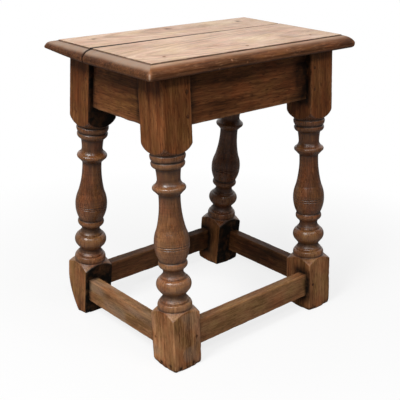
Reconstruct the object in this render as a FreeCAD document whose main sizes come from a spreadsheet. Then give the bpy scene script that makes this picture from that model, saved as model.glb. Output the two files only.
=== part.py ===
import FreeCAD, Part
import os
import Sketcher
from FreeCAD import Placement, Rotation, Vector

# An oak joint stool: four turned legs that lean in towards the top, four rails,
# four stretchers, a moulded top of two boards, and the pegs that hold it together.
# Lengths are in millimetres. +Z is up, X runs along the top, the front faces -Y,
# and the origin is on the floor under the middle of the top.

SIZES = {
    "stool_height": 540.0,
    "leg_section": 62.0,
    # how far the legs' middles stand in from the top's ends, and from its long
    # edges at the floor and at the head
    "leg_inset": 70.0,
    "foot_inset": 10.0,
    "head_inset": 51.0,
    # top boards and their moulded edge
    "top_length": 491.0,
    "top_depth": 296.0,
    "top_thickness": 24.0,
    "seam_offset": 30.0,
    "seam_gap": 1.2,
    "moulding_width": 19.0,
    "quirk_width": 1.5,
    "quirk_depth": 1.7,
    "nosing_height": 4.5,
    "under_round_height": 5.5,
    "under_round_width": 4.5,
    "under_round_bulge": 0.8,
    "ovolo_bulge": 1.9,
    # rails under the top
    "rail_width": 90.5,
    "rail_thickness": 22.0,
    "long_rail_setback": 11.2,
    "side_rail_setback": 5.4,
    # stretchers near the floor
    "stretcher_floor_gap": 30.4,
    "stretcher_width": 45.4,
    "stretcher_thickness": 20.8,
    "stretcher_setback": 7.9,
    # mortise and tenon joints
    "tenon_thickness": 9.0,
    "tenon_length": 34.0,
    "tenon_setback": 13.0,
    "tenon_shoulder": 6.0,
    "rail_top_shoulder": 18.0,
    "tenon_clearance": 0.1,
    "mortise_slack": 1.5,
    # pegs through the joints
    "peg_radius": 3.4,
    "peg_length": 38.0,
    "peg_inset": 10.5,
    "peg_proud": 0.4,
    "peg_clearance": 0.05,
    "peg_end_gap": 0.6,
    "rail_peg_edge": 18.0,
    "rail_peg_head_gap": 32.5,
    "side_peg_drop": 6.0,
    # pegs that hold the top down
    "top_peg_radius": 4.2,
    "top_peg_depth": 42.0,
    # how far a cutter runs past the wood
    "cutter_overrun": 5.0,
    # the turning, from the foot block up: a run is a member's height, its radius is
    # where it ends, and its swell is how far its arc stands out from a straight line.
    # The shaft has no run of its own: it takes up what the others leave.
    "foot_block_height": 95.0,
    "head_block_height": 106.6,
    "turning_reach": 45.0,
    "foot_shoulder_run": 12.0,
    "foot_shoulder_radius": 29.3,
    "base_torus_run": 12.5,
    "base_torus_radius": 27.9,
    "base_torus_swell": 1.7,
    "base_scribe_run": 0.6,
    "base_scribe_radius": 26.5,
    "base_cove_run": 10.3,
    "base_cove_radius": 20.3,
    "base_cove_hollow": 0.8,
    "low_neck_run": 2.7,
    "low_neck_radius": 20.7,
    "ball_under_run": 7.8,
    "ball_under_radius": 26.9,
    "ball_run": 21.8,
    "ball_radius": 25.5,
    "ball_swell": 4.5,
    "ball_scribe_run": 0.6,
    "ball_scribe_radius": 24.3,
    "ball_cove_run": 11.2,
    "ball_cove_radius": 17.5,
    "ball_cove_hollow": 1.5,
    "ring_flare_run": 7.8,
    "ring_flare_radius": 21.7,
    "ring_flare_hollow": 1.1,
    "ring_run": 12.6,
    "ring_radius": 23.4,
    "ring_swell": 2.9,
    "vase_foot_run": 1.6,
    "vase_foot_radius": 23.7,
    "vase_run": 55.4,
    "vase_radius": 25.3,
    "vase_swell": 6.1,
    "shaft_radius": 18.5,
    "shaft_hollow": 2.4,
    "collar_under_run": 8.2,
    "collar_under_radius": 25.9,
    "collar_run": 8.0,
    "collar_radius": 26.9,
    "collar_swell": 2.1,
    "collar_scribe_run": 0.6,
    "collar_scribe_radius": 25.7,
    "collar_cove_run": 9.3,
    "collar_cove_radius": 19.7,
    "collar_cove_hollow": 1.3,
    "upper_shaft_run": 18.5,
    "upper_shaft_radius": 21.4,
    "upper_shaft_hollow": 0.4,
    "cap_under_run": 2.5,
    "cap_under_radius": 22.5,
    "cap_ring_run": 9.9,
    "cap_ring_radius": 28.7,
    "cap_ring_swell": 2.6,
    "cap_groove_run": 1.8,
    "cap_groove_radius": 26.4,
    "cap_bead_run": 11.0,
    "cap_bead_radius": 30.0,
    "cap_bead_swell": 1.4,
    "head_groove_run": 1.6,
    "head_groove_radius": 28.2,
    "head_seat_run": 3.2,
    "head_seat_radius": 30.4,
    "head_shoulder_run": 24.0,
    "head_shoulder_swell": 4.0,
}

# The turned members in order, each with the way that its outline bends.
TURNING = [
    ("foot_shoulder", "straight"),
    ("base_torus", "swell"),
    ("base_scribe", "straight"),
    ("base_cove", "hollow"),
    ("low_neck", "straight"),
    ("ball_under", "straight"),
    ("ball", "swell"),
    ("ball_scribe", "straight"),
    ("ball_cove", "hollow"),
    ("ring_flare", "hollow"),
    ("ring", "swell"),
    ("vase_foot", "straight"),
    ("vase", "swell"),
    ("shaft", "hollow"),
    ("collar_under", "straight"),
    ("collar", "swell"),
    ("collar_scribe", "straight"),
    ("collar_cove", "hollow"),
    ("upper_shaft", "hollow"),
    ("cap_under", "straight"),
    ("cap_ring", "swell"),
    ("cap_groove", "straight"),
    ("cap_bead", "swell"),
    ("head_groove", "straight"),
    ("head_seat", "straight"),
    ("head_shoulder", "swell"),
]

# Places in the leg's own frame: "along" is measured up the leaning leg from the
# floor, and "inward" from the leg's middle towards the middle of the stool. A reach
# is how far a leg's middle stands from the middle of the stool.
FRAME_HEIGHT = "(Sizes.stool_height - Sizes.top_thickness)"
LEG_REACH = "(Sizes.top_length / 2 - Sizes.leg_inset)"
FOOT_REACH = "(Sizes.top_depth / 2 - Sizes.foot_inset)"
HEAD_REACH = "(Sizes.top_depth / 2 - Sizes.head_inset)"
LEAN = f"((Sizes.head_inset - Sizes.foot_inset) / {FRAME_HEIGHT})"
TILT = f"atan({LEAN})"
LEG_LENGTH = f"({FRAME_HEIGHT} / cos({TILT}))"
HALF_LEG = "(Sizes.leg_section / 2)"
TENON_FACE = f"({HALF_LEG} - Sizes.tenon_setback)"
TENON_BACK = f"({TENON_FACE} - Sizes.tenon_thickness)"
PEG_LINE = f"({HALF_LEG} - Sizes.peg_inset)"
RAIL_FOOT = f"({LEG_LENGTH} - Sizes.rail_width)"
RAIL_TENON = (
    f"({RAIL_FOOT} + Sizes.tenon_shoulder)",
    f"({LEG_LENGTH} - Sizes.rail_top_shoulder)",
)
STRETCHER_TENON = (
    "(Sizes.stretcher_floor_gap + Sizes.tenon_shoulder)",
    "(Sizes.stretcher_floor_gap + Sizes.stretcher_width - Sizes.tenon_shoulder)",
)
LONG_RAIL_PEGS = (
    f"({RAIL_FOOT} + Sizes.rail_peg_edge)",
    f"({LEG_LENGTH} - Sizes.rail_peg_head_gap)",
)
SIDE_RAIL_PEGS = tuple(f"({place} - Sizes.side_peg_drop)" for place in LONG_RAIL_PEGS)
STRETCHER_PEGS = ("(Sizes.stretcher_floor_gap + Sizes.stretcher_width / 2)",)
# where a peg goes down into a leaning rail: halfway down it is in the rail's middle
RAIL_MIDDLE = (
    f"({HALF_LEG} - Sizes.long_rail_setback - Sizes.rail_thickness / 2"
    f" + Sizes.top_peg_depth / 2 * {LEAN})"
)
FIXED_RUNS = " - ".join(f"Sizes.{member}_run" for member, _ in TURNING if member != "shaft")
SHAFT_RUN = f"({LEG_LENGTH} - Sizes.head_block_height - Sizes.foot_block_height - {FIXED_RUNS})"
HOLE_RADIUS = "(Sizes.peg_radius + Sizes.peg_clearance)"
TOP_HOLE_RADIUS = "(Sizes.top_peg_radius + Sizes.peg_clearance)"

LEFT, RIGHT = -1, 1
FRONT, REAR = -1, 1
SIDE_NAMES = {LEFT: "left", RIGHT: "right"}
DEPTH_NAMES = {FRONT: "front", REAR: "rear"}
# a sketch's origin, and the start, end and centre point of one of its edges
SKETCH_ORIGIN = -1
START = 1
END = START + 1
CENTRE = END + 1

doc = FreeCAD.newDocument("joint_stool")


def make_sheet():
    """The spreadsheet that every size of the model is bound to."""
    sheet = doc.addObject("Spreadsheet::Sheet", "Sizes")
    for row, (name, value) in enumerate(SIZES.items(), start=1):
        sheet.set(f"A{row}", name)
        sheet.set(f"B{row}", str(value))
        sheet.setAlias(f"B{row}", name)
    doc.recompute()
    return sheet


def new_body(name):
    body = doc.addObject("PartDesign::Body", name)
    body.Label = name
    return body


def new_sketch(body, name, plane_role, offset=None):
    """A sketch on one of its body's origin planes, moved along the plane's normal."""
    planes = [item for item in body.Origin.OriginFeatures if item.Role == plane_role]
    sketch = body.newObject("Sketcher::SketchObject", name)
    sketch.AttachmentSupport = [(planes[0], "")]
    sketch.MapMode = "FlatFace"
    if offset:
        sketch.setExpression("AttachmentOffset.Base.z", offset)
    return sketch


def mark_point(sketch, across, up):
    """A point of the sketch that two sizes hold in place from the sketch's origin."""
    point = sketch.addGeometry(Part.Point(Vector(1, 1, 0)), True)
    for kind, size in (("DistanceX", across), ("DistanceY", up)):
        held = Sketcher.Constraint(kind, SKETCH_ORIGIN, START, point, START, 1.0)
        sketch.setExpression(f"Constraints[{sketch.addConstraint(held)}]", size)
    return point


def draw_outline(sketch, steps):
    """A closed outline. Each step is a corner, and may name the point that the edge
    into that corner bends through."""
    corners = [mark_point(sketch, *step[:2]) for step in steps]
    bends = [mark_point(sketch, *step[2:]) if step[2:] else None for step in steps]
    sketch.recompute()
    places = {point: sketch.getPoint(point, START) for point in corners + bends if point is not None}
    for number, corner in enumerate(corners):
        before = corners[number - 1]
        bend = bends[number]
        if bend is None:
            shape = Part.LineSegment(places[before], places[corner])
        else:
            shape = Part.Arc(places[before], places[bend], places[corner])
        edge = sketch.addGeometry(shape, False)
        start, end = before, corner
        to_before = sketch.getPoint(edge, START).distanceToPoint(places[before])
        to_corner = sketch.getPoint(edge, START).distanceToPoint(places[corner])
        if to_before > to_corner:
            start, end = corner, before
        sketch.addConstraint(Sketcher.Constraint("Coincident", edge, START, start, START))
        sketch.addConstraint(Sketcher.Constraint("Coincident", edge, END, end, START))
        if bend is not None:
            sketch.addConstraint(Sketcher.Constraint("PointOnObject", bend, START, edge))


def draw_circle(sketch, across, up, radius):
    centre = mark_point(sketch, across, up)
    sketch.recompute()
    circle = Part.Circle(sketch.getPoint(centre, START), Vector(0, 0, 1), 1.0)
    edge = sketch.addGeometry(circle, False)
    sketch.addConstraint(Sketcher.Constraint("Coincident", edge, CENTRE, centre, START))
    held = sketch.addConstraint(Sketcher.Constraint("Radius", edge, 1.0))
    sketch.setExpression(f"Constraints[{held}]", radius)


def box_steps(across, up):
    """The four corners of a rectangle between two places across and two places up."""
    low, high = across
    foot, head = up
    return [(low, foot), (high, foot), (high, head), (low, head)]


def pad(body, sketch, length, symmetric=True):
    feature = body.newObject("PartDesign::Pad", f"{sketch.Name}_pad")
    feature.Profile = sketch
    if symmetric:
        feature.SideType = "Symmetric"
    feature.setExpression("Length", length)
    doc.recompute()
    return feature


def pocket(body, sketch, depth, reverse=False, symmetric=False):
    """Cut a sketch out of its body, and make sure that wood came away."""
    before = body.Shape.Volume
    feature = body.newObject("PartDesign::Pocket", f"{sketch.Name}_pocket")
    feature.Profile = sketch
    feature.Reversed = reverse
    if symmetric:
        feature.SideType = "Symmetric"
    feature.setExpression("Length", depth)
    doc.recompute()
    if not body.Shape.Volume < before:
        raise RuntimeError(f"{sketch.Name} cuts nothing out of {body.Label}")
    return feature


def signed(side, size):
    return size if side > 0 else f"(-{size})"


def lean_with_leg(item, y_side):
    """Put a piece that leans with the legs at the foot of the front or rear pair."""
    item.Placement = Placement(Vector(0, 0, 0), Rotation(Vector(y_side, 0, 0), 1))
    item.setExpression("Placement.Base.y", signed(y_side, FOOT_REACH))
    item.setExpression("Placement.Rotation.Angle", TILT)


def stool_y(inward, along):
    """Distance from the stool's middle plane of a place in a leg's own frame."""
    return (
        f"({FOOT_REACH} - ({along}) * sin({TILT})"
        f" - ({inward}) * cos({TILT}))"
    )


def stool_z(inward, along):
    return f"(({along}) * cos({TILT}) - ({inward}) * sin({TILT}))"


def turning_steps():
    """What the lathe takes off: from the leg's corners in to the turned profile."""
    along = "Sizes.foot_block_height"
    radius = "Sizes.turning_reach"
    steps = [(radius, along)]
    for member, bend in TURNING:
        run = SHAFT_RUN if member == "shaft" else f"Sizes.{member}_run"
        end_along = f"{along} + {run}"
        end_radius = f"Sizes.{member}_radius"
        if member == TURNING[-1][0]:
            end_radius = "Sizes.turning_reach"
        step = (end_radius, end_along)
        if bend != "straight":
            sign = "+" if bend == "swell" else "-"
            middle = f"({radius} + {end_radius}) / 2 {sign} Sizes.{member}_{bend}"
            step += (middle, f"{along} + {run} / 2")
        steps.append(step)
        along, radius = end_along, end_radius
    return steps


def cut_mortises(leg, x_side, y_side):
    """Mortises for the rails and stretchers, in the leg's two inner faces."""
    depth = "(Sizes.tenon_length + Sizes.mortise_slack)"
    cheeks = (
        f"({TENON_BACK} - Sizes.tenon_clearance)",
        f"({TENON_FACE} + Sizes.tenon_clearance)",
    )
    for piece, tenon in (("rail", RAIL_TENON), ("stretcher", STRETCHER_TENON)):
        heights = (f"({tenon[0]} - Sizes.tenon_clearance)", f"({tenon[1]} + Sizes.tenon_clearance)")
        name = f"{leg.Name}_long_{piece}_mortise"
        sketch = new_sketch(leg, name, "YZ_Plane", signed(-x_side, HALF_LEG))
        draw_outline(sketch, box_steps([signed(y_side, cheek) for cheek in cheeks], heights))
        pocket(leg, sketch, depth, reverse=x_side == RIGHT)
        name = f"{leg.Name}_side_{piece}_mortise"
        sketch = new_sketch(leg, name, "XZ_Plane", signed(y_side, HALF_LEG))
        draw_outline(sketch, box_steps([signed(x_side, cheek) for cheek in cheeks], heights))
        pocket(leg, sketch, depth, reverse=y_side == FRONT)


def bore_leg(leg, x_side, y_side):
    """Peg holes from the leg's two outer faces, and one down into its top."""
    depth = "(Sizes.peg_length + Sizes.peg_end_gap)"
    sketch = new_sketch(leg, f"{leg.Name}_long_peg_holes", "XZ_Plane", signed(-y_side, HALF_LEG))
    for height in LONG_RAIL_PEGS + STRETCHER_PEGS:
        draw_circle(sketch, signed(-x_side, PEG_LINE), height, HOLE_RADIUS)
    pocket(leg, sketch, depth, reverse=y_side == REAR)
    sketch = new_sketch(leg, f"{leg.Name}_side_peg_holes", "YZ_Plane", signed(x_side, HALF_LEG))
    for height in SIDE_RAIL_PEGS + STRETCHER_PEGS:
        draw_circle(sketch, signed(-y_side, PEG_LINE), height, HOLE_RADIUS)
    pocket(leg, sketch, depth, reverse=x_side == LEFT)
    bore_head(leg, y_side, "0")


def bore_head(piece, y_side, outward):
    """A hole straight down into the level top of a leaning leg or rail."""
    sketch = new_sketch(piece, f"{piece.Name}_top_peg_hole", "XY_Plane")
    sketch.AttachmentOffset = Placement(Vector(0, 0, 0), Rotation(Vector(-y_side, 0, 0), 1))
    sketch.setExpression("AttachmentOffset.Base.z", LEG_LENGTH)
    sketch.setExpression("AttachmentOffset.Rotation.Angle", TILT)
    draw_circle(sketch, "0", signed(y_side, outward), TOP_HOLE_RADIUS)
    pocket(piece, sketch, "(Sizes.top_peg_depth + Sizes.peg_end_gap)")


def make_leg(x_side, y_side):
    """A square blank, cut level at the floor and under the top, then turned,
    mortised and bored. The leg is made upright and then leant."""
    leg = new_body(f"leg_{DEPTH_NAMES[y_side]}_{SIDE_NAMES[x_side]}")
    sketch = new_sketch(leg, f"{leg.Name}_blank", "YZ_Plane")
    slope = f"{HALF_LEG} * {LEAN}"
    inner = signed(-y_side, HALF_LEG)
    outer = signed(y_side, HALF_LEG)
    steps = [
        (outer, f"(-{slope})"),
        (inner, slope),
        (inner, f"({LEG_LENGTH} + {slope})"),
        (outer, f"({LEG_LENGTH} - {slope})"),
    ]
    draw_outline(sketch, steps)
    pad(leg, sketch, "Sizes.leg_section")
    sketch = new_sketch(leg, f"{leg.Name}_turning", "XZ_Plane")
    draw_outline(sketch, turning_steps())
    groove = leg.newObject("PartDesign::Groove", f"{leg.Name}_turned")
    groove.Profile = sketch
    groove.ReferenceAxis = (sketch, ["V_Axis"])
    groove.Angle = 360.0
    doc.recompute()
    cut_mortises(leg, x_side, y_side)
    bore_leg(leg, x_side, y_side)
    lean_with_leg(leg, y_side)
    leg.setExpression("Placement.Base.x", signed(x_side, LEG_REACH))
    return leg


def make_long_piece(name, y_side, section, tenon, pegs):
    """A rail or stretcher along the front or rear, which leans with the legs."""
    piece = new_body(f"{name}_{DEPTH_NAMES[y_side]}")
    sketch = new_sketch(piece, f"{piece.Name}_board", "YZ_Plane")
    draw_outline(sketch, [(signed(-y_side, inward), along) for inward, along in section])
    pad(piece, sketch, f"(2 * {LEG_REACH} - Sizes.leg_section)")
    sketch = new_sketch(piece, f"{piece.Name}_tenons", "YZ_Plane")
    cheeks = [signed(y_side, TENON_BACK), signed(y_side, TENON_FACE)]
    draw_outline(sketch, box_steps(cheeks, tenon))
    pad(piece, sketch, f"(2 * {LEG_REACH} - Sizes.leg_section + 2 * Sizes.tenon_length)")
    sketch = new_sketch(piece, f"{piece.Name}_peg_holes", "XZ_Plane")
    for x_side in (LEFT, RIGHT):
        for height in pegs:
            across = signed(x_side, f"({LEG_REACH} - {PEG_LINE})")
            draw_circle(sketch, across, height, HOLE_RADIUS)
    pocket(piece, sketch, "(2 * Sizes.leg_section)", symmetric=True)
    lean_with_leg(piece, y_side)
    return piece


def make_side_piece(name, x_side, foot, head, setback, thickness, tenon, pegs):
    """A rail or stretcher at the left or right: it stands upright between the leaning
    legs, with shoulders cut to their slope and tenons square to the shoulders."""
    piece = new_body(f"{name}_{SIDE_NAMES[x_side]}")
    middle = signed(x_side, f"({HALF_LEG} - {setback} - {thickness} / 2)")
    sketch = new_sketch(piece, f"{piece.Name}_board", "YZ_Plane", middle)
    foot_end, head_end = (
        f"({FOOT_REACH} - {height} * {LEAN} - {HALF_LEG} / cos({TILT}))"
        for height in (foot, head)
    )
    steps = [(f"(-{foot_end})", foot), (foot_end, foot), (head_end, head), (f"(-{head_end})", head)]
    draw_outline(sketch, steps)
    pad(piece, sketch, thickness)
    middle = signed(x_side, f"(({TENON_FACE} + {TENON_BACK}) / 2)")
    sketch = new_sketch(piece, f"{piece.Name}_tenons", "YZ_Plane", middle)
    inwards = (f"({HALF_LEG} - Sizes.tenon_length)", f"({HALF_LEG} + Sizes.tenon_thickness)")
    for y_side in (FRONT, REAR):
        steps = [
            (signed(y_side, stool_y(inward, along)), stool_z(inward, along))
            for inward, along in box_steps(inwards, tenon)
        ]
        draw_outline(sketch, steps)
    pad(piece, sketch, "Sizes.tenon_thickness")
    sketch = new_sketch(piece, f"{piece.Name}_peg_holes", "YZ_Plane")
    for y_side in (FRONT, REAR):
        for height in pegs:
            across = signed(y_side, stool_y(PEG_LINE, height))
            draw_circle(sketch, across, stool_z(PEG_LINE, height), HOLE_RADIUS)
    pocket(piece, sketch, "(2 * Sizes.leg_section)", symmetric=True)
    piece.setExpression("Placement.Base.x", signed(x_side, LEG_REACH))
    return piece


def make_rails_and_stretchers():
    rail_back = f"({HALF_LEG} - Sizes.long_rail_setback)"
    rail_face = f"({rail_back} - Sizes.rail_thickness)"
    rail_section = [
        (f"(-{rail_back})", RAIL_FOOT),
        (f"(-{rail_face})", RAIL_FOOT),
        (f"(-{rail_face})", f"({LEG_LENGTH} - {rail_face} * {LEAN})"),
        (f"(-{rail_back})", f"({LEG_LENGTH} - {rail_back} * {LEAN})"),
    ]
    stretcher_face = f"({HALF_LEG} - Sizes.stretcher_setback)"
    stretcher_back = f"({stretcher_face} - Sizes.stretcher_thickness)"
    stretcher_foot = "Sizes.stretcher_floor_gap"
    stretcher_head = "(Sizes.stretcher_floor_gap + Sizes.stretcher_width)"
    stretcher_section = box_steps(
        (f"(-{stretcher_face})", f"(-{stretcher_back})"), (stretcher_foot, stretcher_head)
    )
    for y_side in (FRONT, REAR):
        rail = make_long_piece("rail", y_side, rail_section, RAIL_TENON, LONG_RAIL_PEGS)
        bore_head(rail, y_side, RAIL_MIDDLE)
        make_long_piece("stretcher", y_side, stretcher_section, STRETCHER_TENON, STRETCHER_PEGS)
    for x_side in (LEFT, RIGHT):
        make_side_piece(
            "rail", x_side, f"({FRAME_HEIGHT} - Sizes.rail_width)", FRAME_HEIGHT,
            "Sizes.side_rail_setback", "Sizes.rail_thickness", RAIL_TENON, SIDE_RAIL_PEGS,
        )
        make_side_piece(
            "stretcher", x_side, stretcher_foot, stretcher_head,
            "Sizes.stretcher_setback", "Sizes.stretcher_thickness", STRETCHER_TENON, STRETCHER_PEGS,
        )


def moulding_steps(reach, side):
    """The top's moulded edge from the underside up to the field: a rounded lower
    edge, a short upright nosing, a broad ovolo and a narrow quirk."""
    foot = f"({reach} - Sizes.under_round_width)"
    field = f"({reach} - Sizes.moulding_width)"
    ovolo_end = f"({field} + Sizes.quirk_width)"
    nosing_foot = f"({FRAME_HEIGHT} + Sizes.under_round_height)"
    nosing_head = f"({nosing_foot} + Sizes.nosing_height)"
    quirk_floor = "(Sizes.stool_height - Sizes.quirk_depth)"
    under_bend = (
        signed(side, f"(({foot} + {reach}) / 2 + Sizes.under_round_bulge)"),
        f"({FRAME_HEIGHT} + Sizes.under_round_height / 2 - Sizes.under_round_bulge)",
    )
    ovolo_bend = (
        signed(side, f"(({ovolo_end} + {reach}) / 2 + Sizes.ovolo_bulge)"),
        f"(({nosing_head} + {quirk_floor}) / 2 + Sizes.ovolo_bulge)",
    )
    return [
        (signed(side, foot), FRAME_HEIGHT),
        (signed(side, reach), nosing_foot) + under_bend,
        (signed(side, reach), nosing_head),
        (signed(side, ovolo_end), quirk_floor) + ovolo_bend,
        (signed(side, field), quirk_floor),
        (signed(side, field), "Sizes.stool_height"),
    ]


def turned_round(steps):
    """The same run of corners from its other end, with each bend on its own edge."""
    corners = [step[:2] for step in steps]
    bends = [step[2:] for step in steps]
    return [corner + bend for corner, bend in zip(corners[::-1], [()] + bends[:0:-1])]


def top_peg_places(y_side):
    """Where one board is pegged down: into its two legs and into the rail's middle."""
    reach = signed(y_side, HEAD_REACH)
    places = [(signed(x_side, LEG_REACH), reach) for x_side in (LEFT, RIGHT)]
    return places + [("0", signed(y_side, f"({HEAD_REACH} + {RAIL_MIDDLE})"))]


def make_top_board(y_side):
    """One board of the top: moulded at both ends and along its outer edge, plain at
    the seam, and bored for the pegs that go down into two legs."""
    board = new_body(f"top_board_{DEPTH_NAMES[y_side]}")
    half_depth = "(Sizes.top_depth / 2)"
    seam = signed(y_side, "(Sizes.seam_gap / 2)")
    seam = f"(Sizes.seam_offset + {seam})"
    width = f"({half_depth} - {signed(y_side, seam)})"
    start = seam if y_side == FRONT else half_depth
    sketch = new_sketch(board, f"{board.Name}_length", "XZ_Plane", f"(-{start})")
    half_length = "(Sizes.top_length / 2)"
    left = turned_round(moulding_steps(half_length, LEFT))
    draw_outline(sketch, moulding_steps(half_length, RIGHT) + left)
    pad(board, sketch, width, symmetric=False)
    sketch = new_sketch(board, f"{board.Name}_edge", "YZ_Plane")
    edge = moulding_steps(half_depth, y_side)
    past = signed(y_side, f"({half_depth} + Sizes.cutter_overrun)")
    above = "(Sizes.stool_height + Sizes.cutter_overrun)"
    below = f"({FRAME_HEIGHT} - Sizes.cutter_overrun)"
    waste = [(edge[-1][0], above), (past, above), (past, below), (edge[0][0], below)]
    draw_outline(sketch, edge + waste)
    pocket(board, sketch, "(2 * Sizes.top_length)", symmetric=True)
    sketch = new_sketch(board, f"{board.Name}_peg_holes", "XY_Plane", "Sizes.stool_height")
    for across, outward in top_peg_places(y_side):
        draw_circle(sketch, across, outward, TOP_HOLE_RADIUS)
    pocket(board, sketch, "(Sizes.top_thickness + Sizes.cutter_overrun)")
    return board


def make_peg(name, radius, length, axis, angle, base):
    """A round peg: its head is at the base, and it is driven along the turned axis."""
    peg = doc.addObject("Part::Cylinder", name)
    peg.setExpression("Radius", radius)
    peg.setExpression("Height", length)
    peg.Placement = Placement(Vector(0, 0, 0), Rotation(axis, 1))
    if angle:
        peg.setExpression("Placement.Rotation.Angle", angle)
    for letter, size in zip("xyz", base):
        peg.setExpression(f"Placement.Base.{letter}", size)
    return peg


def group_pegs(name, pegs):
    group = doc.addObject("Part::Compound", name)
    group.Label = name
    group.Links = pegs
    return group


def make_long_pegs(name, y_side, heights):
    """Pegs driven from the front or rear faces of a pair of legs."""
    pegs = []
    head = f"(-{HALF_LEG} - Sizes.peg_proud)"
    for x_side in (LEFT, RIGHT):
        for height in heights:
            base = (
                signed(x_side, f"({LEG_REACH} - {PEG_LINE})"),
                signed(y_side, stool_y(head, height)),
                stool_z(head, height),
            )
            label = f"{name}_peg_{len(pegs) + 1}"
            length = "(Sizes.peg_length + Sizes.peg_proud)"
            axis = Vector(y_side, 0, 0)
            pegs.append(make_peg(label, "Sizes.peg_radius", length, axis, f"90 deg + {TILT}", base))
    return group_pegs(name, pegs)


def make_side_pegs(name, x_side, heights):
    """Pegs driven from the left or right faces of a pair of legs."""
    pegs = []
    head = f"({LEG_REACH} + {HALF_LEG} + Sizes.peg_proud)"
    for y_side in (FRONT, REAR):
        for height in heights:
            base = (
                signed(x_side, head),
                signed(y_side, stool_y(PEG_LINE, height)),
                stool_z(PEG_LINE, height),
            )
            label = f"{name}_peg_{len(pegs) + 1}"
            length = "(Sizes.peg_length + Sizes.peg_proud)"
            axis = Vector(0, -x_side, 0)
            pegs.append(make_peg(label, "Sizes.peg_radius", length, axis, "90 deg", base))
    return group_pegs(name, pegs)


def make_top_pegs(y_side):
    """Pegs driven straight down through one board of the top into its legs and rail."""
    name = f"top_pegs_{DEPTH_NAMES[y_side]}"
    pegs = []
    for across, outward in top_peg_places(y_side):
        base = (across, outward, f"({FRAME_HEIGHT} - Sizes.top_peg_depth)")
        label = f"{name}_peg_{len(pegs) + 1}"
        length = "(Sizes.top_peg_depth + Sizes.top_thickness)"
        axis = Vector(1, 0, 0)
        pegs.append(make_peg(label, "Sizes.top_peg_radius", length, axis, "0 deg", base))
    return group_pegs(name, pegs)


def make_pegs():
    for y_side in (FRONT, REAR):
        make_long_pegs(f"rail_pegs_{DEPTH_NAMES[y_side]}", y_side, LONG_RAIL_PEGS)
        make_long_pegs(f"stretcher_pegs_{DEPTH_NAMES[y_side]}", y_side, STRETCHER_PEGS)
        make_top_pegs(y_side)
    for x_side in (LEFT, RIGHT):
        make_side_pegs(f"rail_pegs_{SIDE_NAMES[x_side]}", x_side, SIDE_RAIL_PEGS)
        make_side_pegs(f"stretcher_pegs_{SIDE_NAMES[x_side]}", x_side, STRETCHER_PEGS)


def write_parts():
    """Check every object and every piece, then write one file for each piece."""
    doc.recompute()
    for item in doc.Objects:
        if "Invalid" in item.State or "Error" in item.State:
            raise RuntimeError(f"{item.Name} did not compute: {item.State}")
    pieces = [
        item for item in doc.Objects
        if item.isDerivedFrom("PartDesign::Body") or item.isDerivedFrom("Part::Compound")
    ]
    for piece in pieces:
        if piece.Shape.isNull() or not piece.Shape.isValid():
            raise RuntimeError(f"{piece.Label} has no valid shape")
    os.makedirs("parts", exist_ok=True)
    for piece in pieces:
        piece.Shape.exportStep(f"parts/{piece.Label}.step")
        print(piece.Label, len(piece.Shape.Solids), round(piece.Shape.Volume))


make_sheet()
for side in (LEFT, RIGHT):
    for depth in (FRONT, REAR):
        make_leg(side, depth)
make_rails_and_stretchers()
for depth in (FRONT, REAR):
    make_top_board(depth)
make_pegs()
write_parts()
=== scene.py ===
import itertools
import math
from functools import reduce

import bpy
import numpy as np
from mathutils import Matrix, Vector


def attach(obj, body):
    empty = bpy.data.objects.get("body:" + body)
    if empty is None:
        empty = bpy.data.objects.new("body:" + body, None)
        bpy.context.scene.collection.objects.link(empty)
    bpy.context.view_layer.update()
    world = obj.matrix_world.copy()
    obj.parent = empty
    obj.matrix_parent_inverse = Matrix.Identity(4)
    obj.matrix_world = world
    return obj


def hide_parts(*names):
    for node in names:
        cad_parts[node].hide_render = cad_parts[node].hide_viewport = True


# An old oak joint stool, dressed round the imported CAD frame. Sizes below are in
# millimetres and repeat the CAD part's own; meshes are turned into metres when made.

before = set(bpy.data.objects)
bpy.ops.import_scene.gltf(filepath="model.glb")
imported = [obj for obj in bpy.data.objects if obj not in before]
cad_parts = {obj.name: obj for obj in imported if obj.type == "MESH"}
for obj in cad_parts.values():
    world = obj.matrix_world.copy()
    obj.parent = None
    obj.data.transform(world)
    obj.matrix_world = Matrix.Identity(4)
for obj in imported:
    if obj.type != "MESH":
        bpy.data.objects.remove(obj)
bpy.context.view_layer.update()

MM = 0.001
LEFT, RIGHT = -1, 1
FRONT, REAR = -1, 1
X_NAMES = {LEFT: "left", RIGHT: "right"}
Y_NAMES = {FRONT: "front", REAR: "rear"}

HEIGHT = 540.0
TOP_THICKNESS = 24.0
FRAME_HEIGHT = HEIGHT - TOP_THICKNESS
TOP_LENGTH = 491.0
TOP_DEPTH = 296.0
LEG_REACH = TOP_LENGTH / 2 - 70.0
HEAD_REACH = TOP_DEPTH / 2 - 51.0
FOOT_REACH = TOP_DEPTH / 2 - 10.0
HALF_LEG = 31.0
LEAN = (FOOT_REACH - HEAD_REACH) / FRAME_HEIGHT
TILT = math.atan(LEAN)
LEG_LENGTH = FRAME_HEIGHT / math.cos(TILT)
RAIL_WIDTH = 90.5
RAIL_THICKNESS = 22.0
LONG_RAIL_OUTER = HALF_LEG - 11.2
SIDE_RAIL_OUTER = HALF_LEG - 5.4
RAIL_MIDDLE = LONG_RAIL_OUTER - RAIL_THICKNESS / 2 + 21.0 * LEAN
STRETCHER_OUTER = HALF_LEG - 7.9
STRETCHER_GAP = 30.4
SEAM_Y = 30.0
SEAM_HALF_GAP = 0.6
EMBEDDED = 2.2

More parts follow.
